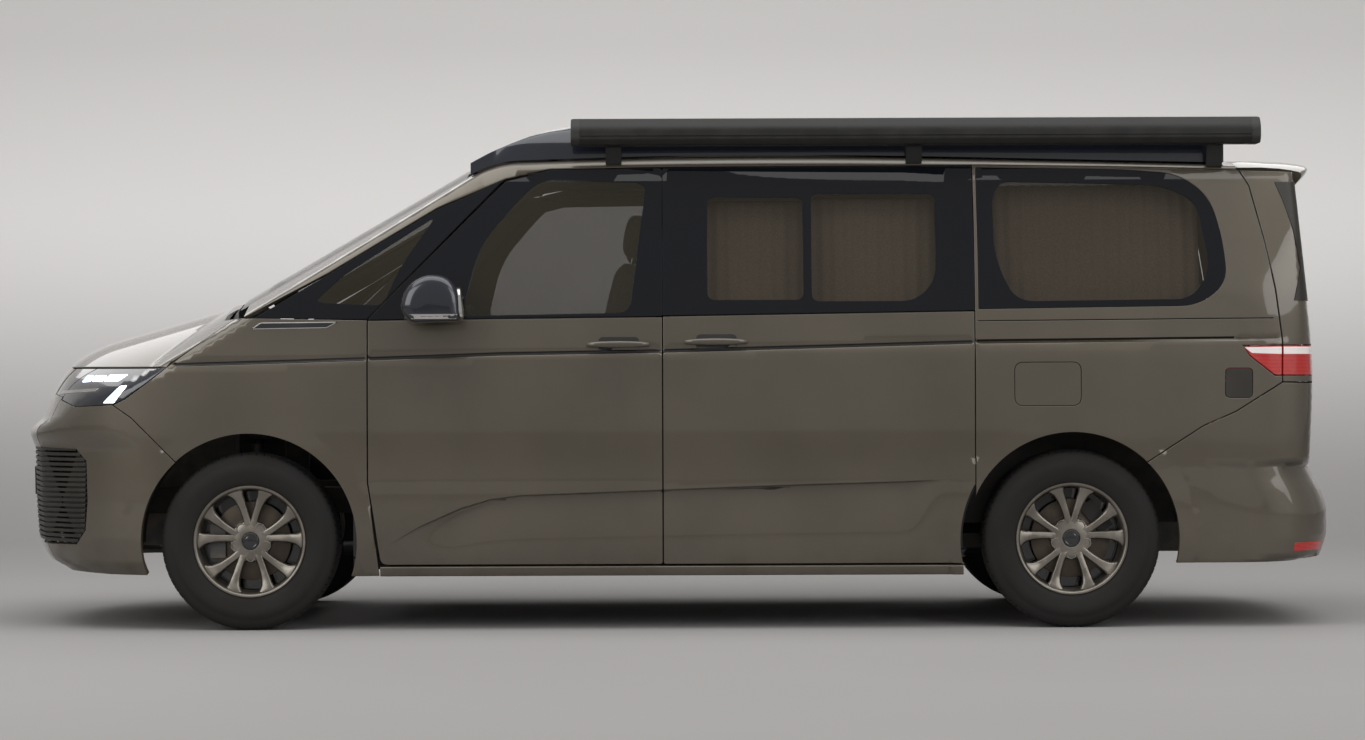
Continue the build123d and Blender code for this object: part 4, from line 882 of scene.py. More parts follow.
@dataclass
class Doors:
    """Front doors and sliding doors of both sides."""

    front_low: Loop = (
        (DOOR_FRONT, 1.176), (DOOR_FRONT, 0.560), (DOOR_FRONT + 0.014, 0.470), (DOOR_FRONT + 0.046, 0.246, 0.03),
        (B_POST, 0.246, 0.012), (B_POST, 1.186),
    )
    front_high: Loop = (
        (DOOR_FRONT, 1.178, 0.006), (B_POST, 1.188, 0.004), (B_POST, DOOR_TOP, 0.02),
        (DOOR_FRONT + 0.690, DOOR_TOP - 0.006), (DOOR_FRONT + 0.520, DOOR_TOP - 0.050),
    )
    front_pane: Loop = (
        (-0.812, 1.192, 0.02), (-0.174, 1.202, 0.05), (-0.112, 1.701, 0.05), (-0.516, 1.712, 0.08),
        (-0.593, 1.640, 0.05), (-0.746, 1.463, 0.1),
    )
    front_all: Loop = (
        (DOOR_FRONT, BELT), (DOOR_FRONT, 0.560), (DOOR_FRONT + 0.014, 0.470), (DOOR_FRONT + 0.046, 0.246),
        (B_POST, 0.246), (B_POST, DOOR_TOP), (DOOR_FRONT + 0.690, DOOR_TOP - 0.006),
        (DOOR_FRONT + 0.520, DOOR_TOP - 0.050),
    )
    slide_panes: Sequence[Loop] = (
        ((0.121, 1.249, 0.03), (0.485, 1.249, 0.03), (0.485, 1.642, 0.03), (0.121, 1.642, 0.03)),
        ((0.517, 1.243, 0.03), (0.912, 1.243, 0.06), (0.988, 1.323, 0.06), (0.989, 1.654, 0.03),
         (0.517, 1.656, 0.03)),
    )

    def slide_low(self) -> Loop:
        """Outline of the sliding door's painted part."""
        return [(B_POST, 1.188), (B_POST, 0.246, 0.012), (1.0875, 0.246, 0.01), *arch(REAR, 0.425, 192.5, 150.1, 14),
                (C_POST, 1.204)]

    def slide_high(self) -> Loop:
        """Outline of the sliding door's glass."""
        return [(B_POST, 1.190, 0.004), (C_POST, 1.206, 0.004), (C_POST, DOOR_TOP + 0.004, 0.012),
                (B_POST, DOOR_TOP, 0.012)]

    def slide_all(self) -> Loop:
        """Outline of the whole sliding door."""
        return [(B_POST, 0.246), (1.0875, 0.246), *arch(REAR, 0.425, 192.5, 150.1, 14),
                (C_POST, DOOR_TOP + 0.004), (B_POST, DOOR_TOP)]

    def handle(self, shape: Shape, x: float, z: float) -> None:
        """Adds the pull handle and a flat dark patch behind it, a painted shadow for the recess behind the handle."""
        length, tall = 0.236, 0.026
        # Painted shadow: dark patch where the recess behind the handle lies in shade.
        painted_cup_shadow = rounded([(x - 0.075, z - 0.030, 0.02), (x + 0.080, z - 0.030, 0.02),
                       (x + 0.080, z + 0.030, 0.02), (x - 0.075, z + 0.030, 0.02)])
        skin(shape, Side.LEFT, dense(painted_cup_shadow, 0.01), top=-0.0006, thick=0.004, edge=0.0005, pitch=0.02, mark=1,
             back=False)
        stations = []
        for t in np.linspace(0, 1, 17):
            u = x - length / 2 + length * t
            base, out = project(Side.LEFT, np.array([[u, z]]))
            rise = 0.006 + 0.020 * math.sin(math.pi * min(1, max(0, t))) ** 0.35
            half = tall / 2 * (0.35 + 0.65 * math.sin(math.pi * min(0.97, max(0.03, t))) ** 0.4)
            ring = []
            for k in range(14):
                a = 2 * math.pi * k / 14
                ring.append(base[0] + out[0] * (rise - 0.007 + 0.009 * math.sin(a)) + np.array([0, 0,
                        half * math.cos(a)]))
            stations.append(np.array(ring))
        loft(shape, stations, mark=0)

    def build(self) -> None:
        """Makes every door piece."""
        for name, mirror in SIDES:
            def lower(shape: Shape) -> None:
                """Adds the front door."""
                skin(shape, Side.LEFT, gapped(self.front_low), lines=CREASES + SWOOSH + FLARE_FRONT, pitch=0.03)
                groove(shape, DOOR_FRONT + 0.006, B_POST - 0.006, 1)
                skin(shape, Side.LEFT, gapped(self.front_all, 0.026), [dense(rounded(self.front_pane), 0.03)],
                     top=0.0165, thick=0.038, edge=0.006, pitch=0.06, mark=2)
                self.handle(shape, B_POST - 0.168, 1.080)
            door = made(f"front_door_shell_{name}", lower, mirror)
            settle(door, f"front_door_{name}", "paint", [f"front_door_{name}"], Finish.PAINT, Finish.PLASTIC,
                   Finish.CABIN)
            glass = made(f"front_door_pane_{name}", SideGlass(self.front_high, [self.front_pane]).build, mirror)
            settle(glass, f"front_door_{name}", "dark_glass", [f"front_door_glass_{name}"], Finish.BORDER,
                   Finish.CLEAR)

            def slide(shape: Shape) -> None:
                """Adds the sliding door."""
                skin(shape, Side.LEFT, gapped(self.slide_low()), lines=CREASES + SWOOSH + FLARE_REAR, pitch=0.03)
                groove(shape, B_POST + 0.006, C_POST - 0.006, 1)
                skin(shape, Side.LEFT, gapped(self.slide_all(), 0.026),
                     [dense(rounded(p), 0.03) for p in self.slide_panes],
                     top=0.0165, thick=0.038, edge=0.006, pitch=0.06, mark=2)
                self.handle(shape, B_POST + 0.202, 1.089)
            door = made(f"sliding_door_shell_{name}", slide, mirror)
            settle(door, "root", "paint", [f"sliding_door_{name}"], Finish.PAINT, Finish.PLASTIC, Finish.CABIN)
            glass = made(f"sliding_door_pane_{name}", SideGlass(self.slide_high(), self.slide_panes).build, mirror)
            settle(glass, "root", "dark_glass", ["sliding_door_glass"], Finish.BORDER, Finish.TINT)


def loft(shape: Shape, stations: Sequence[np.ndarray], mark: int = 0, closed: bool = True, caps: bool = True) -> None:
    """Adds a skin through rings of points, with its outward directions worked out from them."""
    grid = np.array(stations)
    across = np.roll(grid, -1, axis=1) - np.roll(grid, 1, axis=1)
    if not closed:
        across[:, 0], across[:, -1] = grid[:, 1] - grid[:, 0], grid[:, -1] - grid[:, -2]
    along = np.gradient(grid, axis=0)
    normal = np.cross(across, along)
    normal /= np.maximum(np.linalg.norm(normal, axis=2, keepdims=True), 1e-9)
    middle = grid.mean(axis=1, keepdims=True)
    flip = np.sum(normal * (grid - middle)) < 0
    if flip:
        normal = -normal
    start = shape.add(grid.reshape(-1, 3), normal.reshape(-1, 3))
    count = grid.shape[1]
    for k in range(len(stations) - 1):
        first = [start + k * count + j for j in range(count)]
        second = [start + (k + 1) * count + j for j in range(count)]
        if flip:
            first, second = second, first
        shape.strip(first, second, closed, mark)
    if caps:
        for k, other in ((0, 1), (len(stations) - 1, len(stations) - 2)):
            out = grid[k].mean(0) - grid[other].mean(0)
            out /= max(np.linalg.norm(out), 1e-9)
            base = shape.add(grid[k], np.tile(out, (count, 1)))
            corners = [base + j for j in range(count)]
            turn = np.cross(grid[k][1] - grid[k][0], grid[k][2] - grid[k][1])
            shape.face(corners if np.dot(turn, out) > 0 else corners[::-1], mark)


@dataclass
class BodySides:
    """Rear quarters, sills, posts and roof rails."""

    quarter: Loop = (
        (C_POST + 0.014, BELT + 0.030, 0.004), (C_POST + 0.850, BELT + 0.040, 0.09),
                     (C_POST + 0.962, BELT + 0.128, 0.07),
        (C_POST + 0.948, BELT + 0.300, 0.1), (C_POST + 0.905, BELT + 0.460, 0.07),
                     (C_POST + 0.790, BELT + 0.548, 0.09),
        (C_POST + 0.550, BELT + 0.568, 0.1), (C_POST + 0.014, BELT + 0.576, 0.004),
    )
    quarter_pane: Loop = (
        (1.214, 1.399, 0.10), (1.290, 1.240, 0.07), (1.961, 1.247, 0.10), (2.030, 1.358, 0.07), (2.011, 1.472, 0.1),
        (1.985, 1.625, 0.06), (1.848, 1.686, 0.08), (1.238, 1.700, 0.04), (1.207, 1.627, 0.05),
    )
    front_quarter: Loop = (
        (-1.600, 1.186, 0.004), (DOOR_FRONT - 0.004, 1.180, 0.004), (DOOR_FRONT + 0.512, 1.712, 0.01),
        (DOOR_FRONT + 0.260, 1.600), (DOOR_FRONT - 0.149, 1.353),
    )
    front_quarter_pane: Loop = (
        (-1.372, 1.246, 0.04), (-1.110, 1.232, 0.04), (-1.052, 1.369, 0.1), (-0.915, 1.572, 0.03), (-1.052, 1.484),
        (-1.262, 1.347, 0.03),
    )
    top_line: Loop = (
        (-1.640, 1.190), (-1.319, 1.356), (DOOR_FRONT + 0.260, 1.604), (DOOR_FRONT + 0.520, 1.716),
        (DOOR_FRONT + 0.690, 1.754), (B_POST, 1.762), (C_POST, 1.766), (1.70, 1.757), (GATE_TOP - 0.12, 1.748),
        (GATE_TOP - 0.003, 1.742),
    )
    flap: Loop = ((1.282, 0.842, 0.035), (1.536, 0.842, 0.035), (1.536, 1.009, 0.035), (1.282, 1.009, 0.035))
    cover: Loop = ((2.083, 0.870, 0.02), (2.189, 0.870, 0.02), (2.189, 0.984, 0.02), (2.083, 0.984, 0.02))
    rail: Loop = ((1.141, 1.088), (2.118, 1.096), (2.118, 1.103), (1.141, 1.095))

    def quarter_panel(self, shape: Shape) -> None:
        """Adds the painted panel behind the sliding door."""
        outline = [
            *arch(REAR, 0.403, 156.5, 45.8, 40), (2.0, 0.765), (GATE_LOW - 0.180, 0.818), (GATE_LOW, 0.930),
            (GATE_LOW, 0.955), (GATE_LOW - 0.030, 0.955), (GATE_LOW - 0.125, 1.030), (GATE_LOW - 0.150, 1.068),
            (GATE_LOW, 1.070), (GATE_LOW, 1.090), (GATE_TOP + 0.128, 1.281), (GATE_TOP + 0.090, 1.471),
            (GATE_TOP + 0.042, 1.681), (GATE_TOP + 0.006, 1.742), *self.top_line[-2:-4:-1], (C_POST, 1.766),
        ]
        holes = [dense(rounded(self.quarter), 0.02), dense(rounded(self.flap), 0.012),
                 dense(rounded(self.cover), 0.01),
                 dense(self.rail, 0.03), dense([(1.145, 1.1640), (2.268, 1.1715), (2.268, 1.1745), (1.145, 1.1670)],
                                               0.03)]
        lines = CREASES + FLARE_REAR + TAIL_CREASE
        skin(shape, Side.LEFT, gapped(outline), holes, lines=lines, pitch=0.03, thick=0.014)
        skin(shape, Side.LEFT, shifted(holes[1], 0.0022), top=0.0004, edge=0.0012, thick=0.006, pitch=0.03)
        skin(shape, Side.LEFT, shifted(holes[2], 0.0018), top=0.0006, edge=0.0012, thick=0.006, pitch=0.03, mark=1)
        # Dark sheets 15 mm behind the two rail slots and the flap's gap: the slots and the gap are real, the dark
        # sheets are painted shade inside them.
        skin(shape, Side.LEFT, dense([(1.13, 1.078), (2.13, 1.086), (2.13, 1.113), (1.13, 1.105)], 0.03), top=0.015,
             thick=0.003, edge=0.0005, pitch=0.05, mark=1, back=False)
        skin(shape, Side.LEFT, dense([(1.14, 1.158), (2.275, 1.166), (2.275, 1.180), (1.14, 1.172)], 0.03), top=0.014,
             thick=0.003, edge=0.0005, pitch=0.05, mark=1, back=False)
        skin(shape, Side.LEFT, dense([(1.27, 0.83), (1.548, 0.83), (1.548, 1.02), (1.27, 1.02)], 0.03), top=0.015,
             thick=0.003, edge=0.0005, pitch=0.05, mark=1, back=False)

    def sill(self, shape: Shape) -> None:
        """Adds the sill under the doors."""
        outline = [(DOOR_FRONT + 0.044, 0.203), (1.09, 0.203), (1.088, 0.242), (DOOR_FRONT + 0.044, 0.242)]
        skin(shape, Side.LEFT, gapped(outline, 0.001), top=-0.004, thick=0.05, edge=0.006, pitch=0.03)

    def roof_rail(self, shape: Shape) -> None:
        """Adds the painted rail over the doors, from the bonnet to the tailgate."""
        low, _ = project(Side.LEFT, dense(self.top_line, 0.03, closed=False))
        flat = [(p[0], p[1]) for p in low]
        outline = [*flat, (GATE_TOP - 0.003, -ROOF_Y), (-0.80, -ROOF_Y), (-1.6405, -ROOF_Y)]
        skin(shape, Side.TOP, dense(outline, 0.02), pitch=0.022, edge=0.002, thick=0.014)

    def inner_frame(self, shape: Shape) -> None:
        """Adds the door frames and posts seen when a door stands open."""
        front, slide = Doors.front_all, Doors().slide_all()
        outline = [(DOOR_FRONT - 0.06, 0.216), (1.05, 0.216), *arch(REAR, 0.434, 197, 148, 12), (C_POST + 0.06, 0.60),
                   (C_POST + 0.06, DOOR_TOP + 0.02), (DOOR_FRONT + 0.50, DOOR_TOP + 0.012), (DOOR_FRONT - 0.06, 1.20)]
        holes = [shifted(dense(loop, 0.03), 0.045) for loop in (front, slide)]
        skin(shape, Side.LEFT, dense(outline, 0.04), holes, top=0.064, thick=0.030, edge=0.004, pitch=0.07, mark=2)

    def build(self) -> None:
        """Makes both sides and their fixed glass."""
        for name, mirror in SIDES:
            def side(shape: Shape) -> None:
                """Adds all of the side."""
                self.quarter_panel(shape)
                self.sill(shape)
                self.roof_rail(shape)
                self.inner_frame(shape)
            obj = made(f"side_panel_{name}", side, mirror)
            settle(obj, "root", "paint", [f"body_side_{name}"], Finish.PAINT, Finish.MESH, Finish.CABIN)
            glass = made(f"rear_quarter_pane_{name}", SideGlass(self.quarter, [self.quarter_pane]).build, mirror)
            settle(glass, "root", "dark_glass", ["side_glass"], Finish.BORDER, Finish.TINT)
            glass = made(f"front_quarter_pane_{name}", SideGlass(self.front_quarter, [self.front_quarter_pane]).build,
                         mirror)
            settle(glass, "root", "dark_glass", ["side_glass"], Finish.BORDER, Finish.CLEAR)


@dataclass
class Front:
    """Wings, bonnet, bumper, lamps, grille and windscreen."""

    lamp_low: Loop = ((NOSE + 0.446, 0.858), (NOSE + 0.290, 0.852), (NOSE + 0.200, 0.880))

    def wing(self, shape: Shape) -> None:
        """Adds the left wing."""
        outline = [
            (NOSE + 0.655, 1.002), (NOSE + 0.905, 1.186), (NOSE + 0.946, 1.188), (DOOR_FRONT, 1.178),
            (DOOR_FRONT, 0.560), (DOOR_FRONT + 0.014, 0.470), (DOOR_FRONT + 0.044, 0.203),
            *arch(FRONT, 0.408, -19.3, 132.3, 46), (NOSE + 0.519, 0.809), (NOSE + 0.446, 0.858),
            (NOSE + 0.495, 0.881), (NOSE + 0.579, 0.941),
        ]
        skin(shape, Side.LEFT, gapped(outline), lines=CREASES + FLARE_FRONT, pitch=0.028)
        groove(shape, -1.90, DOOR_FRONT - 0.006, 2)
        plate = [(-1.612, 1.143, 0.006), (-1.323, 1.147, 0.006), (-1.279, 1.171, 0.004), (-1.574, 1.169, 0.006)]
        plate = dense(rounded(plate), 0.015)
        skin(shape, Side.LEFT, plate, top=-0.0022, thick=0.004, edge=0.0010, pitch=0.03, mark=1)
        skin(shape, Side.LEFT, shifted(plate, 0.0035), top=-0.0030, thick=0.002, edge=0.0006, pitch=0.03, mark=2)

    def bonnet(self, shape: Shape) -> None:
        """Adds the bonnet."""
        rise, _ = project(Side.LEFT, dense([(NOSE + 0.655, 1.002), (NOSE + 0.905, 1.186)], 0.02, closed=False))
        brow = np.array([(y, 1.002) for y in np.linspace(0.0, -NOSE_Y, 24)])
        nose, _ = project(Side.NOSE, brow)
        edge_x = np.linspace(nose[-1][0] + 0.01, NOSE + 0.645, 20)
        flank, _ = project(Side.LEFT, np.array([(x, 1.002) for x in edge_x]))
        half = [*[(p[0], p[1]) for p in nose], *[(p[0], p[1]) for p in flank], *[(p[0], p[1]) for p in rise],
                (NOSE + 0.850, -ROOF_Y - 0.01), (NOSE + 0.845, -0.4), (NOSE + 0.842, 0.0)]
        outline = half + [(x, -y) for x, y in half[-2:0:-1]]
        skin(shape, Side.TOP, gapped(outline), pitch=0.03, thick=0.018, edge=0.003)

    def side_notch(self) -> list[Point]:
        """Edge of the grille opening on the left flank."""
        return [(NOSE + 0.292, 0.690), (NOSE + 0.336, 0.645), (NOSE + 0.340, 0.490), (NOSE + 0.330, 0.380),
                (NOSE + 0.290, 0.325)]

    def bumper(self, shape: Shape) -> None:
        """Adds the front bumper."""
        nose = [(NOSE + 0.519, 0.809), (NOSE + 0.446, 0.858), *self.lamp_low[1:]]
        outline = [
            *arch(FRONT, 0.408, 198.2, 132.3, 24), *nose, *cut_line(Side.NOSE, -NOSE_Y, 0.888, 0.695, 12),
            *self.side_notch(), *cut_line(Side.NOSE, -NOSE_Y, 0.322, 0.240, 6), (NOSE + 0.24, 0.216), (-2.16, 0.210),
        ]
        part = Shape.empty()
        skin(part, Side.LEFT, shifted(dense(outline, 0.02), 0.0008), lines=FLARE_FRONT, pitch=0.026, thick=0.02,
             edge=0.0015)
        both(shape, part)
        for low, high in ((0.240, 0.322), (0.695, 0.888)):
            loop = [(-NOSE_Y, low), (NOSE_Y, low), (NOSE_Y, high), (-NOSE_Y, high)]
            if high > 0.8:
                loop = [(-NOSE_Y, low), (NOSE_Y, low), (NOSE_Y, 0.888), (0.47, 0.897), (0.45, 0.996), (-0.45, 0.996),
                        (-0.47, 0.897), (-NOSE_Y, 0.888)]
            skin(shape, Side.NOSE, dense(loop, 0.02), pitch=0.03, thick=0.02, edge=0.0006)

    def grille(self, shape: Shape) -> None:
        """Adds the lower grille: a dark back and bars along the nose."""
        notch = self.side_notch()
        outline = [*cut_line(Side.NOSE, -NOSE_Y, 0.695, 0.322, 12)[::-1], *notch[::-1]]
        part = Shape.empty()
        skin(part, Side.LEFT, dense(outline, 0.02), top=0.014, thick=0.004, edge=0.0005, pitch=0.04)
        for z in np.arange(0.338, 0.690, 0.0195):
            reach = float(np.interp(z, [0.325, 0.380, 0.645, 0.690], [0.286, 0.326, 0.332, 0.288]))
            line = cut_line(Side.NOSE, -NOSE_Y, z + 0.0062, z - 0.0062, 2)
            bar = [(NOSE + reach, z - 0.0062), (NOSE + reach, z + 0.0062), line[0], line[1]]
            skin(part, Side.LEFT, dense(bar, 0.03), top=0.003, thick=0.010, edge=0.002, pitch=0.05, back=False)
        both(shape, part)
        skin(shape, Side.NOSE, dense([(-NOSE_Y, 0.322), (NOSE_Y, 0.322), (NOSE_Y, 0.695), (-NOSE_Y, 0.695)], 0.03),
             top=0.014, thick=0.004, edge=0.0005, pitch=0.05)
        for z in np.arange(0.338, 0.690, 0.0195):
            bar = [(-NOSE_Y, z - 0.0062), (NOSE_Y, z - 0.0062), (NOSE_Y, z + 0.0062), (-NOSE_Y, z + 0.0062)]
            skin(shape, Side.NOSE, dense(bar, 0.05), top=0.003, thick=0.010, edge=0.002, pitch=0.08, back=False)
        plate = rounded([(-0.26, 0.50, 0.006), (0.26, 0.50, 0.006), (0.26, 0.61, 0.006), (-0.26, 0.61, 0.006)])
        skin(shape, Side.NOSE, dense(plate, 0.03), top=-0.004, thick=0.008, edge=0.001, pitch=0.05, mark=1)

    def lamp(self, shape: Shape) -> None:
        """Adds the left headlamp: bezel, light bars and the corner light."""
        side = [*cut_line(Side.NOSE, -NOSE_Y, 0.890, 1.000, 8), (NOSE + 0.655, 1.000), (NOSE + 0.579, 0.941),
                (NOSE + 0.495, 0.881), *self.lamp_low]
        skin(shape, Side.LEFT, shifted(dense(side, 0.02), 0.0012), top=0.002, thick=0.02, edge=0.0015, pitch=0.025)
        nose = [(-NOSE_Y, 0.890), (-0.475, 0.900), (-0.455, 0.998), (-NOSE_Y, 0.998)]
        skin(shape, Side.NOSE, dense(nose, 0.02), top=0.002, thick=0.02, edge=0.0006, pitch=0.025)
        bars = [
            [(-2.292, 0.947), (-2.253, 0.949), (-2.243, 0.972), (-2.272, 0.972)],
            [(-2.245, 0.949), (-2.196, 0.951), (-2.184, 0.972), (-2.234, 0.972)],
            [(-2.191, 0.950), (-2.126, 0.951), (-2.094, 0.976), (-2.171, 0.974)],
            [(-2.178, 0.866), (-2.134, 0.866), (-2.084, 0.934), (-2.111, 0.932)],
        ]
        for bar in bars:
            loop = rounded([(*p, 0.004) for p in bar])
            skin(shape, Side.LEFT, dense(loop, 0.012), top=0.0004, thick=0.004, edge=0.0008, pitch=0.02, mark=1,
                 back=False)
        trim = [(-2.400, 0.899), (-2.215, 0.913), (-2.205, 0.923), (-2.385, 0.913)]
        skin(shape, Side.LEFT, dense(trim, 0.012), top=0.0006, thick=0.003, edge=0.0006, pitch=0.03, mark=2,
             back=False)

    def screen(self, shape: Shape) -> None:
        """Adds the windscreen with its black border."""
        low, high = NOSE + 0.908, NOSE + 1.783
        outer = [(low, -0.7265, 0.02), (high, -0.7265, 0.01), (high, 0.7265, 0.01), (low, 0.7265, 0.02)]
        inner = [(low + 0.10, -0.67, 0.05), (high - 0.08, -0.66, 0.05), (high - 0.08, 0.66, 0.05),
                 (low + 0.10, 0.67, 0.05)]
        hole = dense(rounded(inner), 0.03)
        skin(shape, Side.TOP, dense(rounded(outer), 0.03), [hole], top=0.002, thick=0.005, edge=0.001, pitch=0.05)
        skin(shape, Side.TOP, shifted(hole, 0.0003), top=0.0024, thick=0.005, edge=0.0006, pitch=0.06, mark=1,
             back=False)

    def build(self) -> None:
        """Makes the front of the van."""
        def wings(shape: Shape) -> None:
            """Adds both wings."""
            part = Shape.empty()
            self.wing(part)
            both(shape, part)
        settle(made("wing_panels", wings), "root", "paint", ["front_wings"], Finish.PAINT, Finish.CHROME,
               Finish.GLOSS_BLACK)
        settle(made("bonnet_skin", self.bonnet), "bonnet", "paint", ["bonnet"], Finish.PAINT)
        settle(made("front_bumper_skin", self.bumper), "root", "paint", ["front_bumper"], Finish.PAINT)
        settle(made("grille_bars", self.grille), "root", "black_plastic", ["front_grille"], Finish.MESH,
               Finish.PLASTIC)

        def lamps(shape: Shape) -> None:
            """Adds both headlamps."""
            part = Shape.empty()
            self.lamp(part)
            both(shape, part)
        settle(made("headlamp_units", lamps), "root", "lamp_clear", ["headlamps"], Finish.LAMP_DARK, Finish.LIGHT,
               Finish.CHROME)
        settle(made("windscreen_pane", self.screen), "root", "clear_glass", ["windscreen"], Finish.BORDER,
               Finish.CLEAR)


def merge(shape: Shape, part: Shape, mirror: bool) -> None:
    """Adds one shape to another, mirrored across the centreline if asked."""
    flip = np.array((1, -1, 1)) if mirror else np.array((1, 1, 1))
    start = shape.add(np.concatenate(part.points) * flip, np.concatenate(part.normals) * flip)
    for face, mark in zip(part.faces, part.marks):
        corners = [start + k for k in face]
        shape.face(corners[::-1] if mirror else corners, mark)


def both(shape: Shape, part: Shape) -> None:
    """Adds one shape to another as it is, and then mirrored across the centreline."""
    for mirror in (False, True):
        merge(shape, part, mirror)


@dataclass
class Back:
    """Tailgate, rear bumper and lamps."""

    seam: Loop = ((GATE_TOP + 0.006, 1.742), (GATE_TOP + 0.042, 1.681), (GATE_TOP + 0.090, 1.471),
                  (GATE_TOP + 0.128, 1.281), (GATE_LOW, 1.090), (GATE_LOW, 1.070))

    def gate(self, shape: Shape) -> None:
        """Adds the tailgate's skin, window and plate recess."""
        upper = [*self.seam, *cut_line(Side.TAIL, -TAIL_Y, 1.072, 1.735, 24)]
        lower = [(GATE_LOW, 0.955), (GATE_LOW, 0.931), *cut_line(Side.TAIL, -TAIL_Y, 0.931, 0.955, 3)]
        part = Shape.empty()
        skin(part, Side.LEFT, gapped(upper, 0.0015), pitch=0.025, thick=0.016, edge=0.002)
        skin(part, Side.LEFT, gapped(lower, 0.0012), pitch=0.02, thick=0.016, edge=0.001)
        both(shape, part)
        window = rounded([(-0.715, 1.165, 0.05), (0.715, 1.165, 0.05), (0.70, 1.665, 0.05), (-0.70, 1.665, 0.05)])
        outline = [(-0.692, 0.624), (0.692, 0.624), (0.692, 0.93), (TAIL_Y, 0.93), (TAIL_Y, 1.735), (-TAIL_Y, 1.735),
                   (-TAIL_Y, 0.93), (-0.692, 0.93)]
        plate = rounded([(-0.28, 0.70, 0.02), (0.28, 0.70, 0.02), (0.28, 0.86, 0.02), (-0.28, 0.86, 0.02)])
        lamps = [[(0.432, 0.953), (TAIL_Y - 0.006, 0.953), (TAIL_Y - 0.006, 1.073), (0.432, 1.073)]]
        lamps.append([(-y, z) for y, z in lamps[0]][::-1])
        holes = [dense(loop, 0.025) for loop in (window, plate, *lamps)]
        skin(shape, Side.TAIL, dense(outline, 0.025), holes, pitch=0.035, thick=0.016, edge=0.002)
        skin(shape, Side.TAIL, holes[1], top=0.014, thick=0.004, edge=0.0005, pitch=0.05, mark=1)
        blank = rounded([(-0.26, 0.725, 0.006), (0.26, 0.725, 0.006), (0.26, 0.835, 0.006), (-0.26, 0.835, 0.006)])
        skin(shape, Side.TAIL, dense(blank, 0.02), top=0.009, thick=0.003, edge=0.001, pitch=0.05, mark=2)

    def window(self, shape: Shape) -> None:
        """Adds the rear window with its border."""
        outer = rounded([(-0.7135, 1.167, 0.05), (0.7135, 1.167, 0.05), (0.6985, 1.663, 0.05),
                         (-0.6985, 1.663, 0.05)])
        inner = rounded([(-0.64, 1.225, 0.05), (0.64, 1.225, 0.05), (0.62, 1.61, 0.05), (-0.62, 1.61, 0.05)])
        hole = dense(inner, 0.03)
        skin(shape, Side.TAIL, dense(outer, 0.03), [hole], top=0.001, thick=0.005, edge=0.001, pitch=0.05)
        skin(shape, Side.TAIL, shifted(hole, 0.0003), top=0.0014, thick=0.005, edge=0.0006, pitch=0.06, mark=1,
             back=False)
        part = Shape.empty()
        trim = [(2.291, 1.694), (2.318, 1.623), (2.351, 1.515), (2.378, 1.361), (2.350, 1.240),
                *cut_line(Side.TAIL, -TAIL_Y, 1.240, 1.694, 12)]
        skin(part, Side.LEFT, dense(trim, 0.015), top=-0.0035, thick=0.004, edge=0.0010, pitch=0.015, mark=2)
        both(shape, part)

    def spoiler(self, shape: Shape) -> None:
        """Adds the roof spoiler over the rear window."""
        rows = [(GATE_TOP + 0.010, 1.8075), (2.30, 1.8080), (2.40, 1.8035), (2.46, 1.7970), (2.492, 1.7900),
                (2.5015, 1.7800),
                (2.4985, 1.7680), (2.475, 1.7400), (2.448, 1.7130), (2.425, 1.6980), (2.385, 1.6920),
                (GATE_TOP + 0.05, 1.7000)]
        stations = []
        for t in np.linspace(-1, 1, 37):
            y, sink, back = 0.712 * t, 0.034 * t * t + 0.018 * t**8, 0.058 * t * t + 0.030 * t**8
            stations.append(np.array([(x - back * min(1.0, (x - GATE_TOP) / 0.30), y, z - sink) for x, z in rows]))
        loft(shape, stations)

    def bumper(self, shape: Shape) -> None:
        """Adds the rear bumper."""
        outline = [
            *arch(REAR, 0.403, -13.5, 45.8, 26), (2.0, 0.765), (GATE_LOW - 0.180, 0.818), (GATE_LOW, 0.929),
            *cut_line(Side.TAIL, -TAIL_Y, 0.926, 0.262, 30), (TAIL - 0.20, 0.244),
        ]
        part = Shape.empty()
        skin(part, Side.LEFT, gapped(outline, 0.0015), lines=FLARE_REAR + TAIL_CREASE, pitch=0.026, thick=0.02,
             edge=0.002)
        # Red reflector in the tail lamps' red lens finish, so it has a faint painted glow though it is no lamp.
        glow = rounded([(2.345, 0.286, 0.004), (2.462, 0.290, 0.004), (2.468, 0.322, 0.004), (2.350, 0.318, 0.004)])
        skin(part, Side.LEFT, dense(glow, 0.01), top=-0.001, thick=0.006, edge=0.001, pitch=0.03, mark=1)
        both(shape, part)
        loop = [(-TAIL_Y, 0.262), (TAIL_Y, 0.262), (TAIL_Y, 0.900), (0.698, 0.900), (0.698, 0.606), (-0.698, 0.606),
                (-0.698, 0.900), (-TAIL_Y, 0.900)]
        skin(shape, Side.TAIL, dense(loop, 0.03), pitch=0.035, thick=0.02, edge=0.001)

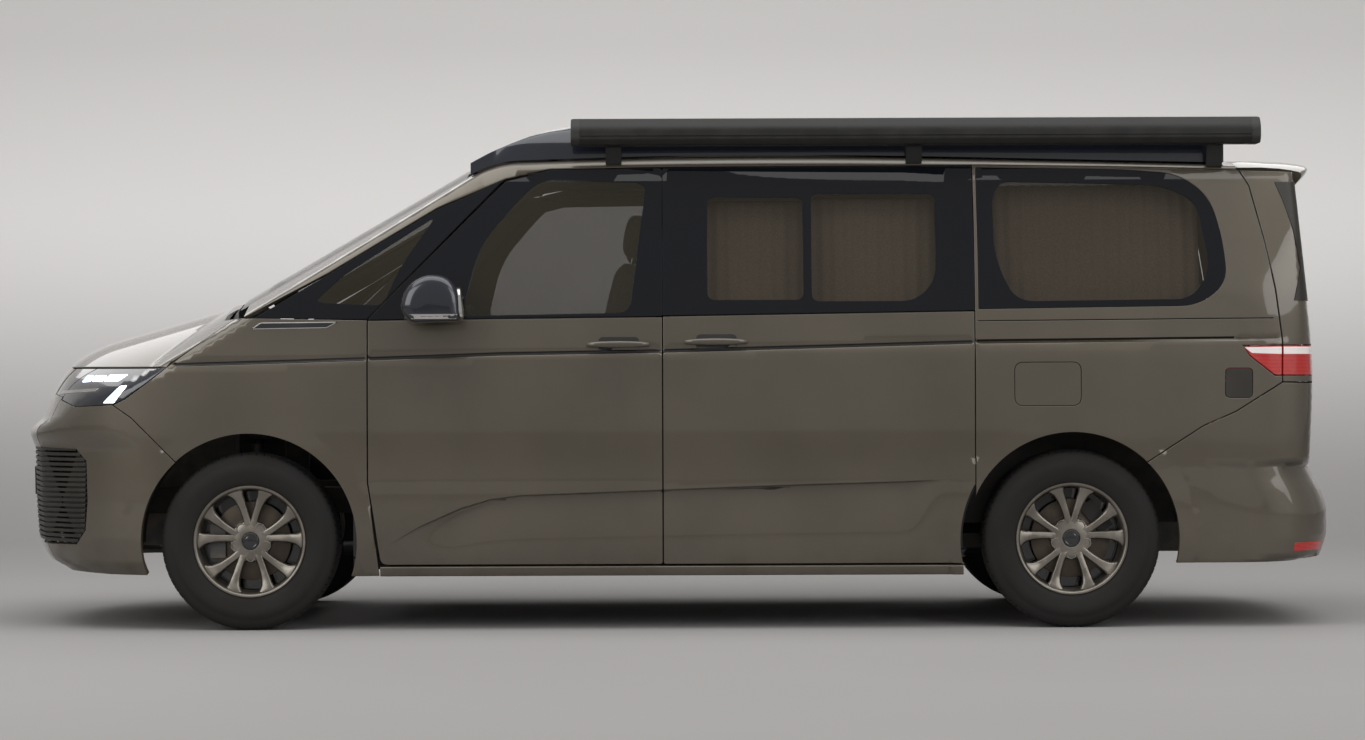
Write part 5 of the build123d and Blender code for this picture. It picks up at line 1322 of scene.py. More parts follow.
    def lamps(self, fixed: bool) -> Callable[[Shape], None]:
        """Returns a function that adds the lamp halves on the body, or those on the tailgate."""
        def build(shape: Shape) -> None:
            """Adds the lamp halves of both sides."""
            part = Shape.empty()
            if fixed:
                loop = [(GATE_LOW - 0.150, 1.066, 0.01), (GATE_LOW - 0.125, 1.031), (GATE_LOW - 0.030, 0.957),
                        (GATE_LOW - 0.0025, 0.957), (GATE_LOW - 0.0025, 1.068)]
                skin(part, Side.LEFT, gapped(loop, 0.0012), top=0.001, thick=0.02, edge=0.0015, pitch=0.02)
                strip = [(GATE_LOW - 0.146, 1.062), (GATE_LOW - 0.118, 1.040), (GATE_LOW - 0.004, 1.036),
                         (GATE_LOW - 0.004, 1.064)]
                skin(part, Side.LEFT, dense(strip, 0.01), top=-0.0006, thick=0.002, edge=0.0006, pitch=0.02, mark=1,
                     back=False)
            else:
                edge_line = cut_line(Side.TAIL, -TAIL_Y, 0.957, 1.068, 6)
                loop = [(GATE_LOW + 0.0025, 1.068), (GATE_LOW + 0.0025, 0.957), *edge_line]
                skin(part, Side.LEFT, dense(loop, 0.02), top=0.001, thick=0.02, edge=0.0008, pitch=0.02)
                high = cut_line(Side.TAIL, -TAIL_Y, 1.036, 1.064, 3)
                strip = [(GATE_LOW + 0.004, 1.064), (GATE_LOW + 0.004, 1.036), *high]
                skin(part, Side.LEFT, dense(strip, 0.02), top=-0.0006, thick=0.002, edge=0.0006, pitch=0.02, mark=1,
                     back=False)
                rear = [(-TAIL_Y, 0.957), (-0.435, 0.957), (-0.435, 1.068), (-TAIL_Y, 1.068)]
                skin(part, Side.TAIL, dense(rear[::-1], 0.02), top=0.001, thick=0.02, edge=0.0008, pitch=0.02)
                strip = [(-TAIL_Y, 1.036), (-0.440, 1.036), (-0.440, 1.064), (-TAIL_Y, 1.064)]
                skin(part, Side.TAIL, dense(strip[::-1], 0.02), top=-0.0006, thick=0.002, edge=0.0006, pitch=0.03,
                     mark=1, back=False)
            both(shape, part)
        return build

    def build(self) -> None:
        """Makes the back of the van."""
        settle(made("tailgate_skin", self.gate), "tailgate", "paint", ["tailgate"], Finish.PAINT, Finish.PLASTIC,
               Finish.CHROME)
        settle(made("rear_window", self.window), "tailgate", "dark_glass", ["tailgate_glass"], Finish.BORDER,
               Finish.TINT, Finish.MESH)
        settle(made("roof_spoiler", self.spoiler), "tailgate", "paint", [], Finish.PAINT)
        settle(made("rear_bumper_skin", self.bumper), "root", "paint", ["rear_bumper"], Finish.PAINT, Finish.LENS_RED)
        settle(made("tail_lamp_units", self.lamps(True)), "root", "lamp_red", ["tail_lamps"], Finish.LENS_RED,
               Finish.LENS_PALE)
        settle(made("tailgate_lamp_units", self.lamps(False)), "tailgate", "lamp_red", ["tailgate_lamps"],
               Finish.LENS_RED, Finish.LENS_PALE)


def plain(name: str, points: Sequence, faces: Sequence, marks: Sequence[int] | None = None, bevel: float = 0.0,
          segments: int = 2, sharp: float = 38.0, smoothing: int = 0) -> bpy.types.Object:
    """Makes an object from plain faces.

    Args:
        name: name of the piece.
        points: vertices.
        faces: corner numbers of each face.
        marks: finish number of each face.
        bevel: width of the rounded edges.
        segments: steps of the rounding.
        sharp: angle in degrees above which an edge stays sharp.
        smoothing: levels of subdivision.

    Returns:
        The object, linked to the scene.
    """
    data = bpy.data.meshes.new(name)
    data.from_pydata([tuple(map(float, p)) for p in points], [], [tuple(f) for f in faces])
    if marks is not None:
        data.polygons.foreach_set("material_index", list(marks))
    work = bmesh.new()
    work.from_mesh(data)
    bmesh.ops.remove_doubles(work, verts=work.verts, dist=1e-6)
    bmesh.ops.recalc_face_normals(work, faces=work.faces)
    work.to_mesh(data)
    work.free()
    obj = bpy.data.objects.new(name, data)
    bpy.context.scene.collection.objects.link(obj)
    if smoothing:
        extra = obj.modifiers.new("smoothing", "SUBSURF")
        extra.levels = extra.render_levels = smoothing
    if bevel:
        extra = obj.modifiers.new("edges", "BEVEL")
        extra.width, extra.segments, extra.limit_method = bevel, segments, "ANGLE"
        extra.angle_limit = math.radians(28)
    bake(obj)
    obj.data.polygons.foreach_set("use_smooth", [True] * len(obj.data.polygons))
    obj.data.set_sharp_from_angle(angle=math.radians(sharp))
    return obj


def bake(obj: bpy.types.Object) -> None:
    """Applies an object's modifiers."""
    if obj.modifiers:
        graph = bpy.context.evaluated_depsgraph_get()
        data = bpy.data.meshes.new_from_object(obj.evaluated_get(graph), depsgraph=graph)
        obj.modifiers.clear()
        obj.data = data


def joined(name: str, parts: Sequence[bpy.types.Object]) -> bpy.types.Object:
    """Joins objects, with their finish numbers kept, into one."""
    work, marks = bmesh.new(), []
    for part in parts:
        part.data.transform(part.matrix_world)
        work.from_mesh(part.data)
        marks.append(part)
    data = bpy.data.meshes.new(name)
    work.to_mesh(data)
    work.free()
    for part in marks:
        bpy.data.objects.remove(part)
    data.set_sharp_from_angle(angle=math.radians(38))
    obj = bpy.data.objects.new(name, data)
    bpy.context.scene.collection.objects.link(obj)
    return obj


def mirrored(obj: bpy.types.Object, name: str) -> bpy.types.Object:
    """Makes the mirror image of an object across the centreline."""
    data = obj.data.copy()
    data.transform(Matrix.Scale(-1, 4, Vector((0, 1, 0))))
    data.flip_normals()
    copy = bpy.data.objects.new(name, data)
    bpy.context.scene.collection.objects.link(copy)
    return copy


def grid_faces(rows: int, columns: int, closed: bool, start: int = 0) -> list[tuple[int, ...]]:
    """Faces between rows of points that follow each other."""
    faces = []
    for r in range(rows - 1):
        for c in range(columns if closed else columns - 1):
            n = (c + 1) % columns
            faces.append((start + r * columns + c, start + r * columns + n, start + (r + 1) * columns + n,
                          start + (r + 1) * columns + c))
    return faces


def lofted(name: str, rings: Sequence[Sequence], mark: int = 0, **options: float) -> bpy.types.Object:
    """Makes a closed form through rings with the same number of points."""
    columns = len(rings[0])
    points = [p for ring in rings for p in ring]
    faces = grid_faces(len(rings), columns, True)
    faces += [tuple(range(columns))[::-1], tuple(len(points) - columns + k for k in range(columns))]
    return plain(name, points, faces, [mark] * len(faces), **options)


def turned(name: str, profile: Sequence[Point], centre: Vector, count: int = 96, mark: int = 0,
           **options: float) -> bpy.types.Object:
    """Makes a closed ring from a profile of (distance outboard, radius) about a left-hand axle."""
    rings = []
    for k in range(count):
        a = 2 * math.pi * k / count
        rings.append([(centre.x + r * math.cos(a), centre.y - w, centre.z + r * math.sin(a)) for w, r in profile])
    rings.append(rings[0])
    points = [p for ring in rings[:-1] for p in ring]
    columns, faces = len(profile), []
    for k in range(count):
        for c in range(columns):
            n, j = (c + 1) % columns, (k + 1) % count
            faces.append((k * columns + c, k * columns + n, j * columns + n, j * columns + c))
    return plain(name, points, faces, [mark] * len(faces), **options)


@dataclass
class Wheels:
    """Tyres, cast wheels and brake discs."""

    spoke_width: Sequence[tuple[float, float]] = ((0.0, 0.036), (0.25, 0.029), (0.6, 0.033), (0.85, 0.046),
                                                  (1.0, 0.074))
    spoke_face: Sequence[tuple[float, float]] = ((0.0, 0.064), (0.3, 0.068), (0.75, 0.074), (1.0, 0.086))
    tread: Sequence[Point] = (
        (0.0815, 0.204), (0.089, 0.206), (0.0955, 0.214), (0.1015, 0.236), (0.1065, 0.262), (0.1070, 0.276),
        (0.1045, 0.292), (0.1030, 0.2945), (0.1010, 0.306), (0.0975, 0.318), (0.0925, 0.327), (0.084, 0.3335),
        (0.072, 0.3365), (0.0590, 0.3372), (0.0580, 0.3300), (0.0500, 0.3300), (0.0490, 0.3374), (0.0240, 0.3379),
        (0.0230, 0.3305), (0.0150, 0.3305), (0.0140, 0.3380),
    )

    def spoke(self, centre: Vector, turn: float, lean: int) -> bpy.types.Object:
        """Makes one spoke of a pair: turn is the pair's angle and lean is -1 or 1."""
        rings = []
        for t in np.linspace(0, 1, 13):
            radius = 0.050 + 0.1475 * t
            angle = math.radians(turn + lean * (8.5 + 8.0 * t + 1.5 * smooth(0.75, 1.0, t)))
            width = table(self.spoke_width, t) / 2
            face = table(self.spoke_face, t)
            deep = 0.030 + 0.010 * t
            ridge = lean * width * 0.35
            section = [(-width, face - 0.010), (-width * 0.72, face - 0.0022), (ridge, face),
                       (width * 0.72, face - 0.0022),
                       (width, face - 0.010), (width * 0.6, face - deep), (-width * 0.6, face - deep)]
            ring = []
            for side, out in section:
                ring.append((
                    centre.x + radius * math.cos(angle) - side * math.sin(angle), centre.y - out,
                    centre.z + radius * math.sin(angle) + side * math.cos(angle),
                ))
            rings.append(ring)
        return lofted("spoke", rings, bevel=0.0016, sharp=24.0)

    def disk(self, centre: Vector, profile: Sequence[Point], mark: int, count: int = 64) -> bpy.types.Object:
        """Makes a turned disc that is closed at its middle."""
        rings = [[(centre.x + r * math.cos(a), centre.y - w, centre.z + r * math.sin(a))
                  for a in np.linspace(0, 2 * math.pi, count, endpoint=False)] for w, r in profile]
        return lofted("disk", rings, mark, bevel=0.0008)

    def bolt(self, centre: Vector, angle: float) -> list[bpy.types.Object]:
        """Makes one wheel bolt in its seat."""
        spot = centre + Vector((0.060 * math.cos(angle), 0, 0.060 * math.sin(angle)))
        seat = self.disk(spot, ((0.050, 0.0205), (0.0635, 0.0200), (0.0655, 0.0180), (0.0650, 0.0160),
                                (0.0560, 0.0150), (0.0555, 0.0060)), 0, 32)
        head = self.disk(spot, ((0.0500, 0.0125), (0.0600, 0.0120), (0.0618, 0.0100), (0.0616, 0.0050),
                                (0.0590, 0.0045)), 1, 6)
        return [seat, head]

    def rim(self, centre: Vector) -> bpy.types.Object:
        """Makes the left-hand wheel with its brake disc."""
        barrel = [(0.0975, 0.2035), (0.0995, 0.2075), (0.0993, 0.2118), (0.0965, 0.2130), (0.0925, 0.2115),
                  (0.0878, 0.2037), (-0.0878, 0.2037), (-0.0915, 0.2115), (-0.0955, 0.2130), (-0.0990, 0.2118),
                  (-0.0990, 0.2020), (-0.0695, 0.1900), (0.0560, 0.1900), (0.0740, 0.1935), (0.0900, 0.1985)]
        parts = [turned("barrel", barrel, centre, 128, 0)]
        for count in range(5):
            parts += [self.spoke(centre, 90 + 72 * count, lean) for lean in (-1, 1)]
            parts += self.bolt(centre, math.radians(54 + 72 * count))
        parts.append(self.disk(centre, ((0.028, 0.0820), (0.052, 0.0810), (0.0605, 0.0760), (0.0640, 0.0600),
                                        (0.0660, 0.0400), (0.0662, 0.0340), (0.0620, 0.0330), (0.0600, 0.0200)), 0,
                               80))
        parts.append(self.disk(centre, ((0.058, 0.0322), (0.0665, 0.0318), (0.0680, 0.0300), (0.0672, 0.0240),
                                        (0.0665, 0.0220), (0.0672, 0.0200), (0.0678, 0.0080)), 1, 64))
        disc = [(0.022, 0.1500), (0.0005, 0.1500), (0.0005, 0.0235), (0.033, 0.0235), (0.033, 0.0740),
                (0.0235, 0.0780), (0.0220, 0.0900)]
        parts.append(turned("disc", disc, centre, 96, 2, bevel=0.0012))
        shield = [(-0.030, 0.0300), (-0.030, 0.1885), (-0.034, 0.1885), (-0.034, 0.0300)]
        parts.append(turned("shield", shield, centre, 64, 1))
        return joined("rim", parts)

    def tyre(self, centre: Vector) -> bpy.types.Object:
        """Makes the left-hand tyre, with tread blocks cut at its shoulders."""
        half = list(self.tread)
        profile = half + [(-w, r) for w, r in half[::-1]]
        pitches, points, faces = 72, [], []
        turns = []
        for k in range(pitches):
            turns += [(k + share) / pitches * 2 * math.pi for share in (0.0, 0.07, 0.11, 0.5, 0.57, 0.61)]
        for i, a in enumerate(turns):
            for w, r in profile:
                cut = 0.0065 if (i % 6 == 1 and abs(w) > 0.058) or (i % 6 == 4 and abs(w) < 0.05) else 0.0
                cut *= float(smooth(0.3255, 0.3340, np.float64(r)))
                if i % 6 == 4 and r < 0.334:
                    cut = 0.0
                points.append((centre.x + (r - cut) * math.cos(a), centre.y - w, centre.z + (r - cut) * math.sin(a)))
        columns = len(profile)
        for k in range(len(turns)):
            j = (k + 1) % len(turns)
            for c in range(columns):
                n = (c + 1) % columns
                faces.append((k * columns + c, k * columns + n, j * columns + n, j * columns + c))
        return plain("tyre", points, faces, sharp=30.0)

    def build(self) -> None:
        """Makes the four wheels."""
        for end, x in (("front", FRONT), ("rear", REAR)):
            centre = Vector((x, -WHEEL_Y, AXLE_Z))
            rim, tyre = self.rim(centre), self.tyre(centre)
            for side, mirror in SIDES:
                body = f"wheel_{end}_{side}"
                for piece, node, slot, finishes in (
                    (rim, f"rim_{end}_{side}", "alloy", (Finish.ALLOY, Finish.GLOSS_BLACK, Finish.DISC)),
                    (tyre, f"tyre_{end}_{side}", "tyre", (Finish.TYRE,)),
                ):
                    name = f"{piece.name.split('.')[0]}_{end}_{side}_piece"
                    if mirror:
                        obj = mirrored(piece, name)
                    else:
                        obj = bpy.data.objects.new(name, piece.data.copy())
                        bpy.context.scene.collection.objects.link(obj)
                    settle(obj, body, slot, [node], *finishes)
            for piece in (rim, tyre):
                bpy.data.objects.remove(piece)


@dataclass
class Mirrors:
    """Door mirrors."""

    x: float = DOOR_FRONT + 0.175
    outline: Loop = (
        (-0.045, 1.215, 0.03), (-0.020, 1.305, 0.05), (0.060, 1.352, 0.05), (0.140, 1.340, 0.05),
                     (0.186, 1.285, 0.05),
        (0.194, 1.168, 0.02), (0.000, 1.162, 0.02),
    )
    depth: Sequence[Point] = (
        (-0.9925, 0.900), (-0.9945, 0.965), (-1.004, 0.992), (-1.030, 1.0), (-1.075, 0.992), (-1.108, 0.965),
        (-1.127, 0.905), (-1.136, 0.800), (-1.1395, 0.620),
    )
    strip_band: Point = (1.178, 1.196)
    strip_proud: float = 0.0014

    def housing(self) -> bpy.types.Object:
        """Makes the left-hand mirror."""
        loop = dense(rounded(self.outline), 0.012)
        loop = [(u + self.x, v) for u, v in loop]
        middle = np.array([self.x + 0.085, 1.225])
        rings = [[(*(middle + (np.array(p) - middle) * scale), y) for p in loop] for y, scale in self.depth]
        rings = [[(u, y, v) for u, v, y in ring] for ring in rings]
        shell = lofted("shell", rings, 0, sharp=60.0)
        parts = [shell, self.strip()]
        glass = rounded([(-1.118, 1.182, 0.02), (-1.006, 1.180, 0.015), (-1.006, 1.300, 0.03), (-1.112, 1.296, 0.05)])
        glass = dense(glass, 0.01)
        rings = []
        for depth_x, scale in ((0.1840, 1.0), (0.1975, 1.0), (0.1985, 0.985)):
            rings.append([(self.x + depth_x - 0.10 * (z - 1.17), -1.06 + (y + 1.06) * scale,
                           1.24 + (z - 1.24) * scale)
                          for y, z in glass])
        parts.append(lofted("glass", rings, 1))
        arm = []
        for t in np.linspace(0, 1, 8):
            y = -0.944 - 0.062 * t
            width, tall = 0.045 - 0.006 * t, 0.019 + 0.004 * math.sin(math.pi * t)
            arm.append([(self.x + 0.090 + width * math.cos(a), y, 1.210 + tall * math.sin(a) - 0.008 * (1 - t))
                        for a in np.linspace(0, 2 * math.pi, 20, endpoint=False)])
        parts.append(lofted("arm", arm, 2, sharp=60.0))
        return joined("mirror", parts)

    def strip(self) -> bpy.types.Object:
        """Makes the bright strip round the foot of the housing."""
        xs = np.linspace(self.x - 0.030, self.x + 0.183, 24)
        rows = [[(u, self.surface(u, z) - self.strip_proud, z) for u in xs] for z in self.strip_band]
        points = rows[0] + rows[1] + [(u, y + 0.004, z) for u, y, z in rows[0] + rows[1]]
        n = len(xs)
        quads = []
        for k in range(n - 1):
            quads += [(k, k + 1, n + k + 1, n + k), (2 * n + k, 3 * n + k, 3 * n + k + 1, 2 * n + k + 1),
                      (k, 2 * n + k, 2 * n + k + 1, k + 1), (n + k, n + k + 1, 3 * n + k + 1, 3 * n + k)]
        quads += [(0, n, 3 * n, 2 * n), (n - 1, 3 * n - 1, 4 * n - 1, 2 * n - 1)]
        return plain("strip", points, quads, [1] * len(quads))

    def surface(self, u: float, z: float) -> float:
        """Outboard face of the housing at a point of its outline's plane."""
        middle = np.array([self.x + 0.085, 1.225])
        loop = np.array([(p[0] + self.x, p[1]) for p in dense(rounded(self.outline), 0.01)])
        spot = np.array([[u, z]])
        for y, scale in self.depth[::-1]:
            if within(spot, middle + (loop - middle) * scale)[0]:
                last = (y, scale)
                break
        else:
            return self.depth[1][0]
        index = [row[0] for row in self.depth].index(last[0])
        if index + 1 >= len(self.depth):
            return last[0]
        low, high, y_low, y_high = last[1], self.depth[index + 1][1], last[0], self.depth[index + 1][0]
        share = 0.0
        for k in range(12):
            trial = low + (high - low) * (k + 1) / 12
            if within(spot, middle + (loop - middle) * trial)[0]:
                share = (k + 1) / 12
        return y_low + (y_high - y_low) * share

    def build(self) -> None:
        """Makes both mirrors."""
        left = self.housing()
        for side, mirror in SIDES:
            obj = mirrored(left, f"mirror_{side}_piece") if mirror else left
            if not mirror:
                obj.name = "mirror_left_piece"
            settle(obj, f"front_door_{side}", "gloss_black", [f"mirror_{side}"], Finish.SHELL, Finish.CHROME,
                   Finish.PLASTIC)


@dataclass
class RaisingRoof:
    """Pop-up roof and its canvas."""

    front: float = NOSE + 1.770
    rear: float = GATE_TOP - 0.044
    top: float = 1.976
    half: float = 0.752
    thick: float = 0.024
    rail: float = 1.800

    def along(self, x: np.ndarray) -> np.ndarray:
        """Height of the pan's long profile."""
        f, r, t = self.front, self.rear, self.top
        first = arc_value(((f + 0.064, self.rail), (f + 0.388, t - 0.051), (f + 0.760, t - 0.012)), x)
        middle = arc_value(((f + 0.760, t - 0.012), (f + 1.500, t), (r - 0.200, t - 0.040)), x)
        last = arc_value(((r - 0.200, t - 0.040), (r - 0.040, t - 0.070), (r, t - 0.116)), x)
        return np.where(x < f + 0.760, first, np.where(x < r - 0.200, middle, last))

    def across(self) -> list[Point]:
        """Points (y, z) of the pan's cross profile, from the left edge to the middle."""
        h, t = self.half, self.top
        points = [(-h, self.rail + 0.050)]
        for k in range(1, 9):
            a = k / 9
            y = -h + 0.090 * a**1.6
            points.append((y, float(np.interp(y, [-h, -h + 0.004, -h + 0.024, -h + 0.055, -h + 0.090],
                                              [self.rail + 0.050, t - 0.112, t - 0.070, t - 0.049, t - 0.040]))))
        for y in np.linspace(-h + 0.090, 0.0, 12):
            points.append((float(y), float(arc_value(((-h + 0.090, t - 0.040), (0.0, t), (h - 0.090, t - 0.040)),
                                                     y))))
        return points

    def pan(self) -> bpy.types.Object:
        """Makes the pan."""
        half = self.across()
        profile = half + [(-y, z) for y, z in half[-2::-1]]
        stations = [*np.linspace(self.front + 0.030, self.front + 0.22, 10),
                    *np.linspace(self.front + 0.26, self.rear - 0.24, 34),
                    *np.linspace(self.rear - 0.20, self.rear, 14)]
        rings = []
        for x in stations:
            rest = np.array([(x, y) for y, _ in profile])
            base, _ = project(Side.TOP, rest)
            low = base[:, 2] + 0.0082
            height = float(self.along(np.array([x]))[0])
            inner = self.thick
            top = [-rounder(np.float64(-z), np.float64(-height), 0.03) for _, z in profile]
            top = np.maximum(np.array(top), low + 0.002)
            ring = [(x, profile[0][0], low[0])]
            ring += [(x, y, z) for (y, _), z in zip(profile, top)]
            ring += [(x, profile[-1][0], low[-1])]
            share = (self.half - inner) / self.half
            under = np.maximum(top - inner, low)
            ring += [(x, profile[-1][0] * share, low[-1])]
            ring += [(x, y * share, z) for (y, _), z in zip(profile[::-1], under[::-1])]
            ring += [(x, profile[0][0] * share, low[0])]
            rings.append(ring)
        columns = len(rings[0])
        points = [p for ring in rings for p in ring]
        faces = grid_faces(len(rings), columns, True)
        n = len(profile)
        walls = []
        for k, x in ((0, stations[0]), (len(rings) - 1, stations[-1])):
            base, _ = project(Side.TOP, np.array([(x, y) for y, _ in profile]))
            start = len(points)
            points += [(x, p[1], p[2] + 0.0082) for p in base]
            for j in range(n - 1):
                walls.append((k * columns + 1 + j, k * columns + 2 + j, start + j + 1, start + j))
        inside = self.rear - self.thick
        base, _ = project(Side.TOP, np.array([(inside, y) for y, _ in profile]))
        start = len(points)
        share = (self.half - self.thick) / self.half
        points += [(inside, y * share, float(p[2]) + 0.0082) for (y, _), p in zip(profile, base)]
        underside = float(self.along(np.array([inside]))[0] - self.thick)
        points += [(inside, y * share, underside) for y, _ in profile]
        for j in range(n - 1):
            walls.append((start + j, start + j + 1, start + n + j + 1, start + n + j))
        return plain("pan", points, faces + walls, sharp=50.0)

    def canvas(self) -> bpy.types.Object:
        """Makes the folded canvas between the roof and the pan."""
        front, rear = self.front + 0.330, self.rear - 0.110
        side = self.half - self.thick - 0.024
        loop = rounded([(front, -side, 0.08), (rear, -side, 0.08), (rear, side, 0.08), (front, side, 0.08)], 8)
        loop = dense(loop, 0.03)
        out = np.stack([loop[:, 0] - (front + rear) / 2, loop[:, 1]], axis=1)
        out = np.sign(out) * (np.abs(out) / np.abs(out).max(0)) ** 6
        out /= np.maximum(np.linalg.norm(out, axis=1, keepdims=True), 1e-6)
        base, _ = project(Side.TOP, loop)
        ceiling = np.minimum(self.along(loop[:, 0]),
                             arc_value(((-self.half + 0.090, self.top - 0.040), (0.0, self.top),
                                        (self.half - 0.090, self.top - 0.040)),
                                       loop[:, 1])) - self.thick - 0.002
        rows = []
        folds = 13
        for k in range(folds):
            t = k / (folds - 1)
            shift = -0.016 if k % 2 else 0.0
            z = base[:, 2] + 0.002 + (ceiling - base[:, 2] - 0.002) * t
            spot = loop + out * shift
            rows.append([(p[0], p[1], h) for p, h in zip(spot, z)])
        columns = len(loop)
        points = [p for row in rows for p in row]
        obj = plain("roof_canvas_bellows", points, grid_faces(folds, columns, True), sharp=60.0)
        return obj

    def build(self) -> None:
        """Makes the pan and the canvas."""
        pan = self.pan()
        pan.name = "raising_roof_pan"
        settle(pan, "popup_roof", "gloss_black", ["popup_roof"], Finish.SHELL)
        canvas = self.canvas()
        dress(canvas, Finish.CANVAS)
        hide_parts("roof_canvas")
        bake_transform(canvas)


@dataclass
class Awning:
    """Roll-out awning's case on the left roof rail."""

    low: tuple[float, float, float] = (B_POST - 0.346, -0.930, 1.838)
    high: tuple[float, float, float] = (REAR + 0.722, -0.815, 1.941)

    def build(self) -> None:
        """Makes the case with its end caps and brackets."""
        (x0, y0, z0), (x1, y1, z1) = self.low, self.high
        section = rounded([
            (y0 + 0.018, z0, 0.006), (y0, z0 + 0.022, 0.010), (y0, z0 + 0.030), (y0 + 0.0030, z0 + 0.0312),
                           (y0 + 0.0030, z0 + 0.0345),
            (y0, z0 + 0.0357), (y0, z1 - 0.036, 0.016), (y0 + 0.034, z1, 0.012), (y1 - 0.012, z1, 0.008),
                           (y1, z1 - 0.012, 0.006),
            (y1, z0 + 0.010, 0.006), (y1 - 0.010, z0, 0.004)], 5)
        middle = np.array([(y0 + y1) / 2, (z0 + z1) / 2])
        cases = [lofted("case", [[(x, y, z) for y, z in section] for x in np.linspace(x0 + 0.034, x1 - 0.034, 3)], 0,
                        sharp=30.0)]
        outer = rounded([(y0 + 0.018, z0, 0.006), (y0, z0 + 0.022, 0.010), (y0, z1 - 0.036, 0.016),
                         (y0 + 0.034, z1, 0.012), (y1, z1, 0.008), (y1, z0, 0.006)], 5)
        for end, inward in ((x0, 1), (x1, -1)):
            rings = []
            for step, scale in ((0.0365, 0.985), (0.0355, 1.0), (0.010, 1.0), (0.003, 0.975), (0.0, 0.93)):
                rings.append([(end + inward * step, *(middle + (np.array(p) - middle) * scale)) for p in outer])
            cases.append(lofted("cap", rings, 1, sharp=30.0))
        for x in (x0 + 0.160, (x0 + x1) / 2, x1 - 0.160):
            foot, _ = project(Side.TOP, np.array([(x, -0.796), (x, -0.774)]))
            ring = [(-0.796, foot[0][2] + 0.001), (-0.774, foot[1][2] + 0.001), (-0.774, foot[1][2] + 0.014),
                    (y1 + 0.006, z0 + 0.026), (y1 - 0.026, z0 + 0.010), (y1 - 0.006, z0 - 0.004)]
            rings = [[(x + side * 0.030, y, z) for y, z in ring] for side in (-1, 1)]
            cases.append(lofted("bracket", rings, 1, bevel=0.002))
        settle(joined("awning_housing", cases), "root", "awning_case", ["awning"], Finish.CASE, Finish.PLASTIC)


